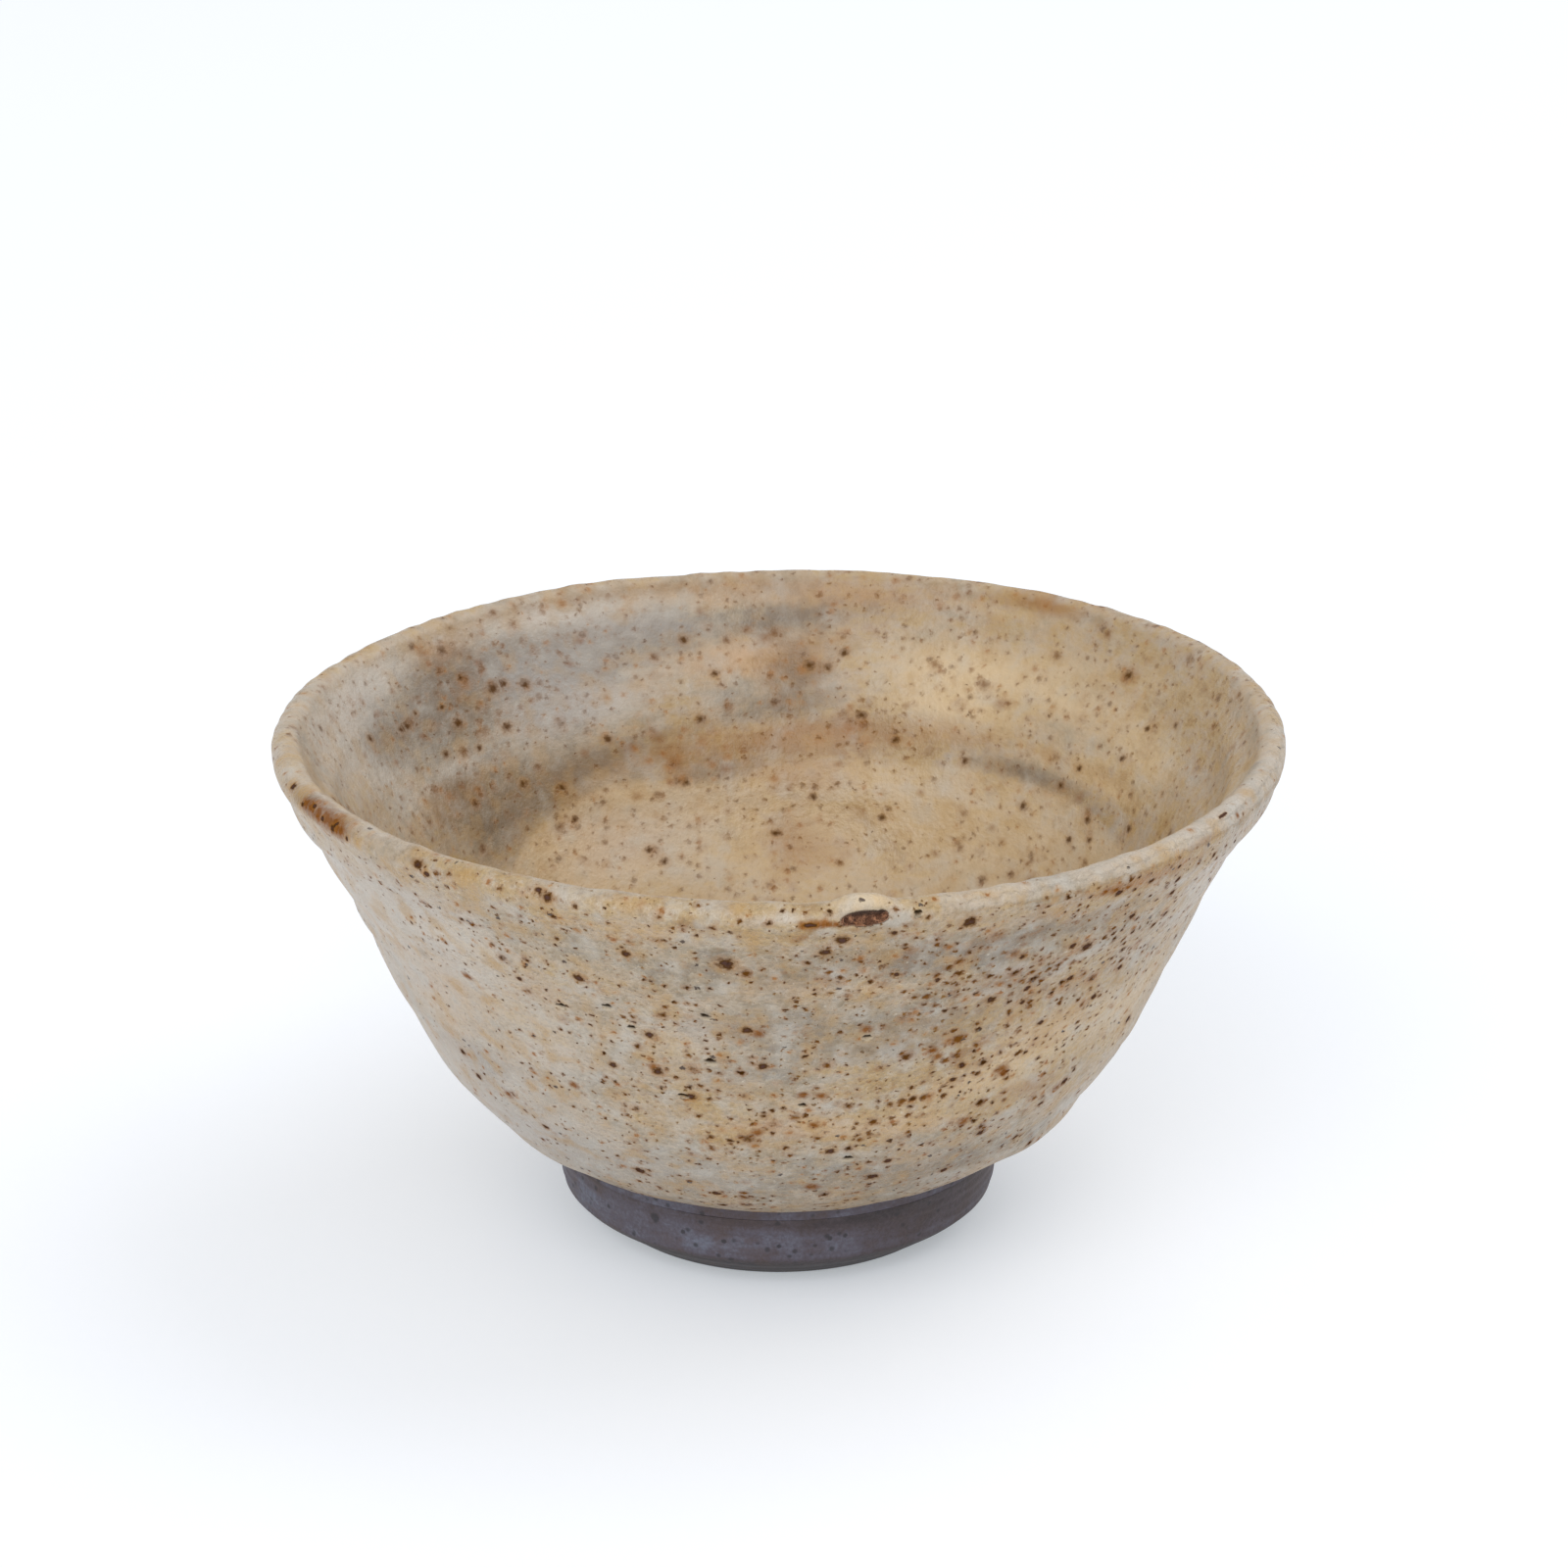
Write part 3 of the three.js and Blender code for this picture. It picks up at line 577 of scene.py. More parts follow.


# %% [markdown]
# ## The pool, the ridge and the lip
# Inside, glaze ran down and pooled: it is clean and cream below a wandering line. Above the line on
# the left runs a ridge whose shade is painted as a dark band, and a fainter painted shade follows the
# pool's edge on the right. Round the lip the glaze drew thin and shows bare tones, but on the right
# it rolled over in one smooth, glassy roll, painted pale partly as thick glaze and partly as a painted
# reflection, and on the left the lip is paler. Lines and bands in azimuth say where each begins, and
# adjust the washes.

# %% The pool's edge and the ridge over it: azimuth and height
POOL_EDGE = np.array([
    (0, 25.0), (60, 26.0), (112, 28.0), (121, 28.7), (130, 29.1), (147, 28.8), (161, 28.3), (176, 28.0),
    (183, 27.6), (189, 26.4), (201, 27.0), (211, 27.4), (222, 26.2), (227, 25.4), (233, 23.7), (250, 22.0),
    (300, 23.0),
])
RIDGE_LINE = np.array([
    (160, 34.0), (167, 33.5), (173, 32.3), (181, 31.3), (196, 30.4), (205, 29.8), (221, 28.1), (240, 26.4),
])
OUT_OF_REACH = -9.0
RIDGE_SPAN, RIDGE_WIDTH, RIDGE_STRENGTH = (165, 175, 232, 244), 0.8, 0.45
SHORE_SPAN, SHORE_WIDTH, SHORE_STRENGTH = (104, 116, 142, 150), 0.9, 0.15


def below(line, azimuth, rows):
    """How far below a line on the inside a point lies, in millimetres; out of reach on the outside."""
    level = np.interp(np.degrees(azimuth) % 360, line[:, 0], line[:, 1], period=360)
    return np.where(past_crest[rows, None] > 0, level - finished[rows, 1:], OUT_OF_REACH)


def painted_ridge_shade(azimuth, rows):
    """Painted shade: bells across the ridge on the left and across the pool's edge on the right."""
    turn = np.degrees(azimuth) % 360
    left = band(turn, *RIDGE_SPAN) * np.exp(-((below(RIDGE_LINE, azimuth, rows) / RIDGE_WIDTH) ** 2))
    right = band(turn, *SHORE_SPAN) * np.exp(-((below(POOL_EDGE, azimuth, rows) / SHORE_WIDTH) ** 2))
    return RIDGE_STRENGTH * left + SHORE_STRENGTH * right


# %% Every value that the glaze reads
ROLLED_SPAN, PALER_LIP_SPAN = (13, 22, 84, 92), (-110, -95, -52, -38)  # degrees of azimuth
ROLL_BAND, LIP_MIDDLE, LIP_HALF_WIDTH = (-1.9, -1.3, 0.0, 0.7), -0.5, 1.1  # mm past the crest
FLAT_TONE, MANY_SPECKS, MORE_INSIDE = 0.5, 0.9, 0.25


def glaze_fields(azimuth, rows):
    """Washes, lip, pool, blister and specks on the grid of these rows and azimuths."""
    over_lip, height, degrees = past_crest[rows, None], finished[rows, 1:], np.degrees(azimuth)
    inner = smooth(-0.4, 0.4, over_lip)
    cap, mouth, rise = blister(azimuth, rows)
    clean = smooth(0.05, 0.4, cap)
    pool = smooth(-0.3, 0.9, below(POOL_EDGE, azimuth, rows))
    lip_band = np.exp(-(((over_lip - LIP_MIDDLE) / LIP_HALF_WIDTH) ** 2))
    rolled = band(degrees, *ROLLED_SPAN)
    paler_lip = band(degrees, *PALER_LIP_SPAN)
    glassy_sheen = band(over_lip, *ROLL_BAND) * rolled + 0.7 * lip_band**2 * paler_lip
    bare_lip = lip_band * (1 - rolled) * (1 - paler_lip) * (1 - clean)
    fields = {}
    for label in OUTSIDE:
        outside, within = (washed(azimuth, height, washes[label]) for washes in (OUTSIDE, INSIDE))
        fields[label] = (1 - inner) * outside + inner * within
    fields["tone"] += FLAT_TONE - 0.1 * bare_lip
    fields["cream"] += 0.5 * pool
    # The glassy roll is painted pale, partly as thick glaze and partly as a painted reflection; the left lip
    # is paler.
    fields["pale"] += 0.5 * glassy_sheen
    fields["rust"] = np.maximum(fields["rust"] + 0.15 * bare_lip - 0.6 * clean, -0.5)
    # The smoke washes also take the painted shade along the ridge and the pool's edge.
    fields["smoke"] = fields["smoke"] * (1 - 0.8 * pool) + painted_ridge_shade(azimuth, rows) + 0.2 * bare_lip
    many = fields["iron"] + MANY_SPECKS + MORE_INSIDE * inner
    fields["iron"] = np.maximum(many - 0.8 * glassy_sheen - 0.9 * clean, 0.05)
    fields.update(veil=inner, over_lip=np.clip(over_lip, -4, 4), rolled=rolled, mouth=mouth, mouth_rise=rise)
    for label in MARKS_OUTSIDE:
        nearest = marked(azimuth, rows, MARKS_OUTSIDE[label], MARKS_INSIDE[label])
        for ending, values in zip(("_mark", "_across", "_up"), nearest):
            fields[label + ending] = values
    return {label: np.broadcast_to(values, mouth.shape) for label, values in fields.items()}


# %% [markdown]
# ## The dipped coat
# The potter held the cup by its foot and dipped it, so the outer coat runs from a line above the foot
# up over the lip and a little way down the inside. It is a skin 0.4 mm thick with a rounded, slightly
# wandering lower edge. Solidify could thicken a face, but not round its edge and keep its bed plain,
# so the grid goes along the face, back along the bed that lies on the clay, and round the lower edge.
# Columns are closer together where the cup faces front.

# %% Grid of a coat
GLAZE_THICKNESS, CLAY_DEPTH, DIP_OVER_LIP = 0.4, 0.45, 6.0
EDGE_TURNS = np.radians([30.0, 60.0, 90.0, 120.0, 150.0])


def bed_rows(first, last):
    """Fewer rows for the hidden side: every tenth on the wall, every second on the tight lip."""
    rows = np.arange(first, last)
    on_lip = (rows >= BELLY_ROWS + FLARE_ROWS - 2) & (rows < BELLY_ROWS + FLARE_ROWS + LIP_ROWS + 2)
    return rows[(on_lip & (rows % 2 == 0)) | (rows % 10 == 0)]


def edge_rows(row):
    """A coat's rounded lower edge: half a circle from its bed to its face, hanging below the row."""
    round_radius = GLAZE_THICKNESS / 2
    depth = round_radius + round_radius * np.cos(EDGE_TURNS)
    slip = -round_radius * np.sin(EDGE_TURNS)
    return np.full(len(EDGE_TURNS), row), depth[:, None], slip[:, None]


def coat(azimuth, stretches):
    """Stacks stretches of (rows, depth, slip) into one list of rows and two grids, with the relief."""
    shapes = [(len(stretch[0]), len(azimuth)) for stretch in stretches]
    rows = np.concatenate([stretch[0] for stretch in stretches])
    depth = np.vstack([np.broadcast_to(stretch[1], shape) for stretch, shape in zip(stretches, shapes)])
    slip = np.vstack([np.broadcast_to(stretch[2], shape) for stretch, shape in zip(stretches, shapes)])
    return rows, depth + relief(azimuth, rows), slip


# %% The dipped coat's points
DIPPED_COLUMNS = 516
EDGE_WANDER = [  # turns, size in mm, phase
    (3, 0.10, 0.4), (7, 0.07, 2.0), (13, 0.05, 4.1), (29, 0.03, 1.3), (53, 0.035, 0.9), (88, 0.03, 2.7),
]
EDGE_LIFTS = [(-34, 14, 0.40), (34, 14, 0.40)]
EDGE_REACH, EDGE_ROLL = 1.5, 0.12
lap_row = int(np.argmin(np.abs(past_crest - DIP_OVER_LIP)))
outer_azimuth = columns_towards(DIPPED_COLUMNS, [(0, 80, 0.9), (BLISTER_AZIMUTH, 5, 3.0)])
outer_rows, outer_depth, outer_slip = coat(outer_azimuth, [
    (np.arange(lap_row + 1), 0.0, 0.0), (bed_rows(1, lap_row)[::-1], GLAZE_THICKNESS, 0.0), edge_rows(0),
])
wander = sum(size * np.cos(turns * outer_azimuth + phase) for turns, size, phase in EDGE_WANDER)
wander = wander + bells(outer_azimuth, EDGE_LIFTS)
low_end = np.exp(-path[outer_rows, None] / EDGE_REACH)
outer_fields = glaze_fields(outer_azimuth, outer_rows)
dipped = make_piece("dipped_ash_glaze", swayed(
    outer_rows, outer_azimuth, outer_depth - EDGE_ROLL * low_end, outer_slip + wander * low_end,
), outer_fields)
crease(dipped, lap_row, DIPPED_COLUMNS)

# %% [markdown]
# ## The poured coat
# The inside was glazed by pouring a little glaze in and swilling it round. It meets the dipped coat
# 6 mm under the lip and covers the rest of the wall and the floor. It could be the same piece, but
# two coats keep the lap that a dipped cup has. The grid starts at a pole under the floor, comes up
# the bed, turns over at the lap and goes down the face to the floor's middle.

# %% The poured coat's points
POURED_COLUMNS = 520
inner_azimuth = columns_towards(POURED_COLUMNS, [(180, 90, 0.8)])
poured_bed = bed_rows(lap_row + 1, last_row)[::-1]
inner_rows, inner_depth, inner_slip = coat(inner_azimuth, [
    (poured_bed, GLAZE_THICKNESS, 0.0), (np.arange(lap_row, last_row), 0.0, 0.0),
])
floor_poles = [[[0, 0, FLOOR_HEIGHT - GLAZE_THICKNESS]], [[0, 0, FLOOR_HEIGHT]]]
inner_points = swayed(inner_rows, inner_azimuth, inner_depth, inner_slip)
poured = make_piece("poured_ash_glaze", inner_points, glaze_fields(inner_azimuth, inner_rows), floor_poles)
crease(poured, len(poured_bed), POURED_COLUMNS)

# %% [markdown]
# ## The clay body
# Under the glaze is a grogged, iron-rich stoneware. Only its underside shows: the flat seat where the
# foot is luted on and the hollow curve that was cut under the glaze line. A surface there alone would
# do for the eye, but a closed body can be printed or cut open. So the grid runs on under both coats,
# 0.05 mm below them, with few rows, since nobody sees it.

# %% The clay's points
CLAY_COLUMNS, SEAT_ROWS, UNDERCUT_ROWS = 240, 18, 13
UNDERCUT_RISE, UNDERCUT_RUN, SEAT_START = 1.95, 1.3, 1.0
clay_azimuth = np.linspace(-np.pi, np.pi, CLAY_COLUMNS, endpoint=False)
bow = np.linspace(0, np.pi / 2, UNDERCUT_ROWS + 1)[1:]
under_r = np.concatenate([
    np.linspace(SEAT_START, SEAT_RADIUS, SEAT_ROWS), SEAT_RADIUS + UNDERCUT_RUN * (1 - np.cos(bow)),
])
under_z = np.concatenate([np.full(SEAT_ROWS, SEAT_HEIGHT), SEAT_HEIGHT + UNDERCUT_RISE * np.sin(bow)])
under = turned(under_r[:, None], clay_azimuth, under_z[:, None])
hidden = bed_rows(2, last_row)
hidden_points = swayed(hidden, clay_azimuth, CLAY_DEPTH + relief(clay_azimuth, hidden))
clay_points = np.vstack([under, hidden_points])
clay_poles = [[[0, 0, SEAT_HEIGHT]], [[0, 0, FLOOR_HEIGHT - CLAY_DEPTH]]]
unmarked = {"patch_and_shade": np.zeros(clay_points.shape[:2]), "clay_mark": np.full(clay_points.shape[:2], FAR)}
clay = make_piece("stoneware_bowl", clay_points, unmarked, clay_poles)
crease(clay, SEAT_ROWS - 1, CLAY_COLUMNS)

# %% [markdown]
# ## The turned foot
# The foot was cut from a ring of soft clay on the turning wheel: an upright band, a bevel that lifts
# its edge off the table, a flat ring to stand on and a recess inside. The cutting tool left fine
# rings. The outline is a closed run of straight cuts, resampled evenly and averaged a little so that
# the corners are worn soft; a Bevel modifier would do the same to a coarser mesh.

# %% The foot's outline
LUTING_GAP, FOOT_STEP, CORNER_WEAR, CRISP_TOP = 0.02, 0.16, 3, 0.7
foot_top = SEAT_HEIGHT - LUTING_GAP
FOOT_CUTS = np.array([
    (10.8, 0.0), (13.6, 0.0), (17.3, 2.55), (17.62, 3.2), (SEAT_RADIUS, foot_top),
    (9.6, foot_top), (10.4, 0.4),
])
SEAT_CUT = 4
runs = []
for start, end in zip(FOOT_CUTS, np.roll(FOOT_CUTS, -1, 0)):
    steps = max(int(np.linalg.norm(end - start) / FOOT_STEP), 2)
    runs.append(start + np.linspace(0, 1, steps, endpoint=False)[:, None] * (end - start))
seat_row = sum(map(len, runs[:SEAT_CUT]))
crisp = np.vstack(runs)
soft = sum(np.roll(crisp, shift, 0) for shift in range(-CORNER_WEAR, CORNER_WEAR + 1)) / (2 * CORNER_WEAR + 1)
foot_outline = np.where(crisp[:, 1:] > SEAT_HEIGHT - CRISP_TOP, crisp, soft)
foot_r, foot_z = foot_outline[:, :1], np.maximum(foot_outline[:, 1:], 0)

# %% The foot's points, patches, painted shade and marks: azimuth, height, half-widths and strength, or radius
FOOT_COLUMNS, RING_DEPTH, RING_PITCH, RECESS_LIMIT = 420, 0.035, 0.9, 12.0
# Blue-grey and brown patches, and painted shade: a band all round under the glaze's edge, deepest at the
# front right.
FOOT_PATCHES_AND_SHADE = [
    (-20, 4.2, 14, 1, 0.35), (-38, 4.4, 5, 0.9, -0.3), (5, 4.6, 24, 1.2, 0.15), (0, 6.7, 200, 0.8, -0.5),
    (45, 5, 25, 2, -0.7), (-70, 5, 24, 2, 0.35), (18, 6.2, 14, 0.9, -0.6), (120, 4.5, 20, 1.5, 0.5),
    (210, 4.8, 25, 1.5, 0.4),
]
FOOT_MARKS = [
    (-33, 5.6, 0.5), (-14, 4.6, 0.28), (0, 4.4, 0.26), (13, 4.9, 0.26), (17, 5, 0.24), (-25, 4.9, 0.26),
    (150, 5, 0.35), (230, 4.6, 0.4), (100, 4.4, 0.3),
]
foot_azimuth = columns_towards(FOOT_COLUMNS, [(0, 80, 0.8)])
on_side = smooth(13.8, 15.0, foot_r) * smooth(0.2, 1.0, foot_z)
rings = RING_DEPTH * np.sin(2 * np.pi * foot_z / RING_PITCH + 0.5 * np.sin(foot_azimuth))
chatter = 0.05 * np.sin(3 * foot_azimuth + 1.0) + 0.04 * np.cos(5 * foot_azimuth + foot_z / 3)
foot_points = turned(foot_r + (rings + chatter) * on_side, foot_azimuth, foot_z)
foot_field = np.full(foot_points.shape[:2], FAR)
for middle, level, radius in FOOT_MARKS:
    inside_mark = 1 - np.hypot(aside(foot_azimuth, middle, foot_r), foot_z - level) / radius
    foot_field = np.maximum(foot_field, np.where(foot_r > RECESS_LIMIT, inside_mark, FAR))
# The bevel faces the table, so it is painted darker as shade.
bevel_painted_shade = 1.3 * (1 - smooth(2.4, 3.2, foot_z))
foot_values = {"patch_and_shade": washed(foot_azimuth, foot_z, FOOT_PATCHES_AND_SHADE) - bevel_painted_shade, "clay_mark": foot_field}
foot = make_piece("turned_foot", foot_points, foot_values)
crease(foot, seat_row, FOOT_COLUMNS)

# %% Each piece rides on the cup and stands for its CAD node
for piece, node, slot in (
    (dipped, "outer_glaze", "dipped_glaze"), (poured, "inner_glaze", "poured_glaze"),
    (clay, "clay_bowl", "stoneware"), (foot, "foot_ring", "bare_foot"),
):
    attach(piece, "root")
    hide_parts(node)

# %% [markdown]
# ## Nodes and colours
# Every finish is a node tree. One helper adds a node, sets it and links it, so a tree reads as a list
# of steps; another lays one colour over what is there already, as a glaze is built up in layers.
# Colours are written as the sRGB hex of the fired surface and turned to linear light.


# %% Helpers for materials
def linear(hex_colour):
    """A written sRGB colour as linear red, green, blue and full alpha."""
    parts = [int(hex_colour[i:i + 2], 16) / 255 for i in (1, 3, 5)]
    return (*[p / 12.92 if p <= 0.04045 else ((p + 0.055) / 1.055) ** 2.4 for p in parts], 1.0)


def add(tree, kind, inputs=None, stops=(), **settings):
    """Adds a node, sets its settings and any colour stops, and gives each named input a value or links
    an output to it. Gives the node's outputs."""
    node = tree.nodes.new("ShaderNode" + kind)
    for key, given in settings.items():
        setattr(node, key, given)
    for key, given in (inputs or {}).items():
        if isinstance(given, bpy.types.NodeSocket):
            tree.links.new(given, node.inputs[key])
        else:
            node.inputs[key].default_value = given
    for _ in stops[2:]:
        node.color_ramp.elements.new(0.5)
    for i, (position, hue) in enumerate(stops):
        node.color_ramp.elements[i].position = position
        node.color_ramp.elements[i].color = linear(hue)
    return node.outputs


def lay(tree, colour, hue, field, start, end, most, part=None):
    """Lays a hue over a colour: not at all where a field is at start, by the share most where it is at
    end, times a part if there is one. Gives the new colour and the share."""
    share = add(tree, "MapRange", {"Value": field, "From Min": start, "From Max": end, "To Max": most})[0]
    if part is not None:
        share = add(tree, "Math", {0: share, 1: part}, operation="MULTIPLY")[0]
    over = linear(hue) if isinstance(hue, str) else hue
    return add(tree, "Mix", {0: share, 6: colour, 7: over}, data_type="RGBA")[2], share


def inside_part(tree, veil, loss):
    """1 on the outside of the cup and 1 plus a loss on its inside, which is calmer and paler."""
    return add(tree, "Math", {0: veil, 1: loss, 2: 1.0}, operation="MULTIPLY_ADD")[0]


def new_material(name):
    """A material with its tree, its shader node, and Object coordinates counted in millimetres."""
    material = bpy.data.materials.new(name)
    material.use_nodes = True
    tree = material.node_tree
    in_metres = add(tree, "TexCoord")["Object"]
    in_mm = add(tree, "Mapping", {"Vector": in_metres, "Scale": (1 / MM,) * 3})[0]
    return material, tree, tree.nodes["Principled BSDF"], in_mm


# %% [markdown]
# ## Ash glaze
# A satin stoneware glaze: wood ash and feldspar melted to glass with an IOR near 1.5, cloudy inside
# and finely dimpled on top. Its colour runs from ochre through straw and beige to blue-grey and mauve
# with the washes. One noise would look like marble, so clouds a few millimetres across, bands from
# the wheel, flecks and grain each swing the tone a little.

# %% The glaze's values and noises
glaze, tree, glaze_shader, in_mm = new_material("satin_ash_glaze_over_iron_clay")
around = add(tree, "Mapping", {"Vector": in_mm, "Scale": (0.16, 0.16, 1.0)})[0]
elsewhere = add(tree, "Mapping", {"Vector": in_mm, "Location": (31.0, 17.0, 53.0)})[0]
NOISES = [  # name, coordinates, size in mm, detail, roughness
    ("clouds", in_mm, 5.5, 3.0, 0.55), ("bands", around, 1.6, 3.0, 0.6), ("streaks", around, 0.55, 2.0, 0.6),
    ("flecks", in_mm, 1.2, 3.0, 0.6), ("grain", in_mm, 0.42, 2.0, 0.6), ("mottle", elsewhere, 2.3, 2.0, 0.5),
    ("clumps", elsewhere, 4.5, 2.0, 0.5),
]
value = {label: add(tree, "Attribute", attribute_name=label)["Fac"] for label in outer_fields}
for label, where, size, detail, roughness in NOISES:
    value[label] = add(tree, "TexNoise", {
        "Vector": where, "Scale": 1 / size, "Detail": detail, "Roughness": roughness,
    })["Fac"]

# %% The glaze's own colour
NOISE_LOW, NOISE_HIGH = 0.25, 0.75
SWINGS = {"clouds": 0.32, "bands": 0.10, "streaks": 0.14, "flecks": 0.22}
GLAZE_RAMP = [(0.00, "#94764f"), (0.25, "#ae956d"), (0.50, "#ad9a82"), (0.75, "#9f917c"), (1.00, "#8a8073")]
tone = value["tone"]
for label, swing in SWINGS.items():
    swung = add(tree, "MapRange", {
        "Value": value[label], "From Min": NOISE_LOW, "From Max": NOISE_HIGH,
        "To Min": -swing, "To Max": swing,
    })[0]
    tone = add(tree, "Math", {0: tone, 1: swung})[0]
colour = add(tree, "ValToRGB", {"Fac": tone}, stops=GLAZE_RAMP)["Color"]

# %% Grain, then washes broken up by noise, then mottle: colours and the most that each covers
FINE_LAYERS = [
    ("grain", 0.52, 0.72, "#7d6a50", 0.45), ("grain", 0.46, 0.28, "#c8bdac", 0.36),
    ("flecks", 0.56, 0.72, "#8c754f", 0.40),
]
# The smoke layer also paints shade inside, and the pale layer also paints sheen and light.
WASH_LAYERS = [
    ("cream", "clouds", "#d3ba93", 0.80), ("peach", "mottle", "#c3a280", 0.75),
    ("pale", "bands", "#c3bbb1", 0.82), ("rust", "flecks", "#94672f", 0.82),
    ("lilac", "mottle", "#979391", 0.80), ("smoke", "flecks", "#6a563e", 0.75),
]
MOTTLE_LAYERS = [("mottle", 0.53, 0.68, "#ab864a", 0.52), ("mottle", 0.47, 0.30, "#b7b4ad", 0.50)]
BREAK_UP, WASH_START, WASH_FULL = 0.6, 0.45, 1.3
plain_inside = inside_part(tree, value["veil"], -0.75)
calm_inside = inside_part(tree, value["veil"], -0.45)
for label, start, end, hue, most in FINE_LAYERS:
    colour = lay(tree, colour, hue, value[label], start, end, most, plain_inside)[0]
for label, noise, hue, most in WASH_LAYERS:
    broken = add(tree, "Math", {0: value[noise], 1: BREAK_UP, 2: value[label]}, operation="MULTIPLY_ADD")[0]
    colour = lay(tree, colour, hue, broken, WASH_START, WASH_FULL, most)[0]
for label, start, end, hue, most in MOTTLE_LAYERS:
    colour = lay(tree, colour, hue, value[label], start, end, most, calm_inside)[0]

# %% [markdown]
# ## Iron specks and pinholes
# Grains of iron in the clay melt up through the glaze. Small ones are brown dots a few tenths of a
# millimetre wide, larger ones have a dark core and a rusty halo, and the tiniest are cream-white,
# partly light crystals and partly painted glints. Gas leaves pinholes, whose mouths are painted dark
# as shade. Thousands of modelled dots would weigh the mesh down, so the small ones are Voronoi points
# scattered in space and cut by the surface, which also keeps any two from looking alike.

# %% Where specks crowd, and the bent space they lie in
FLATTENED, BEND, RUSTY_BASE = (1.0, 1.0, 1.15), (0.6, 0.6, 0.6), 0.6
crowded = add(tree, "MapRange", {
    "Value": value["clumps"], "From Min": 0.32, "From Max": 0.68, "To Min": 0.65, "To Max": 1.3,
})[0]
value["rusty"] = add(tree, "Math", {0: value["rust"], 1: RUSTY_BASE})[0]
for label in ("iron", "rusty"):
    value[label] = add(tree, "Math", {0: value[label], 1: crowded}, operation="MULTIPLY")[0]
wobble = add(tree, "TexNoise", {"Vector": in_mm, "Scale": 1 / 0.35, "Detail": 2.0})
flat_mm = add(tree, "Mapping", {"Vector": in_mm, "Scale": FLATTENED})[0]
bent = add(tree, "VectorMath", {0: wobble["Color"], 1: BEND, 2: flat_mm}, operation="MULTIPLY_ADD")[0]
sharpness = add(tree, "Math", {0: value["veil"], 1: -0.30, 2: 0.40}, operation="MULTIPLY_ADD")[0]

# %% Scattered specks: cell size and radius in mm, core and halo, what drives them, dent, loss inside
SPECK_LAYERS = [
    # The first layer, tiny cream-white dots, is partly light crystals and partly painted glints.
    (0.75, 0.10, "#ddd5c6", 0.45, "#d0c6b4", 0.10, "iron", 0.0, -0.80),
    (0.60, 0.16, "#4c2f0d", 0.88, "#96703c", 0.35, "iron", -0.05, -0.80),
    (1.30, 0.44, "#80481a", 0.75, "#ab7d48", 0.50, "rusty", -0.04, -0.32),
    (0.80, 0.245, "#38200a", 0.97, "#8a5a26", 0.60, "iron", -0.10, -0.50),
    (2.00, 0.42, "#331c05", 0.97, "#8a5822", 0.65, "iron", -0.10, -0.35),
]
SPARED, LEAST_DOT, DOT_SPREAD, HALO_REACH, FADED = 0.2, 0.01, 1.2, 1.9, 0.6
dents, iron_spots = [], 0.0
for cell, radius, core_hue, core_most, halo_hue, halo_most, driver, dent, loss in SPECK_LAYERS:
    clear = inside_part(tree, value["veil"], loss)
    dots = add(tree, "TexVoronoi", {"Vector": bent, "Scale": 1 / cell})
    chance = add(tree, "SeparateColor", {"Color": dots["Color"]})
    scatter = add(tree, "MapRange", {
        "Value": chance["Red"], "From Min": SPARED, "To Min": LEAST_DOT, "To Max": DOT_SPREAD * radius / cell,
    })[0]
    size = add(tree, "Math", {0: scatter, 1: value[driver]}, operation="MULTIPLY")[0]
    halo = add(tree, "Math", {0: size, 1: HALO_REACH}, operation="MULTIPLY")[0]
    tight = add(tree, "Math", {0: size, 1: sharpness}, operation="MULTIPLY")[0]
    fade = add(tree, "Math", {0: chance["Green"], 1: FADED}, operation="MULTIPLY")[0]
    core = add(tree, "Mix", {0: fade, 6: linear(core_hue), 7: linear(halo_hue)}, data_type="RGBA")[2]
    colour = lay(tree, colour, halo_hue, dots["Distance"], halo, tight, halo_most, clear)[0]
    colour, share = lay(tree, colour, core, dots["Distance"], size, tight, core_most, clear)
    if dent:
        dents.append((share, dent))
        iron_spots = add(tree, "Math", {0: iron_spots, 1: share}, operation="MAXIMUM")[0]

# %% Placed marks: the true distance from each middle, kept to the surroundings of a mark
MARK_SQUEEZE, MARK_MARGIN = (0.92, 1.08, 1.0), 0.4
for label in MARKS_OUTSIDE:
    offset = add(tree, "CombineXYZ", {"X": value[label + "_across"], "Y": value[label + "_up"]})[0]
    squeezed = add(tree, "VectorMath", {0: offset, 1: MARK_SQUEEZE}, operation="MULTIPLY")[0]
    distance = add(tree, "VectorMath", {0: squeezed}, operation="LENGTH")["Value"]
    within = add(tree, "Math", {0: 1.0, 1: distance}, operation="SUBTRACT")[0]
    near = add(tree, "Math", {0: value[label + "_mark"], 1: MARK_MARGIN})[0]
    value[label + "_mark"] = add(tree, "Math", {0: within, 1: near}, operation="MINIMUM")[0]

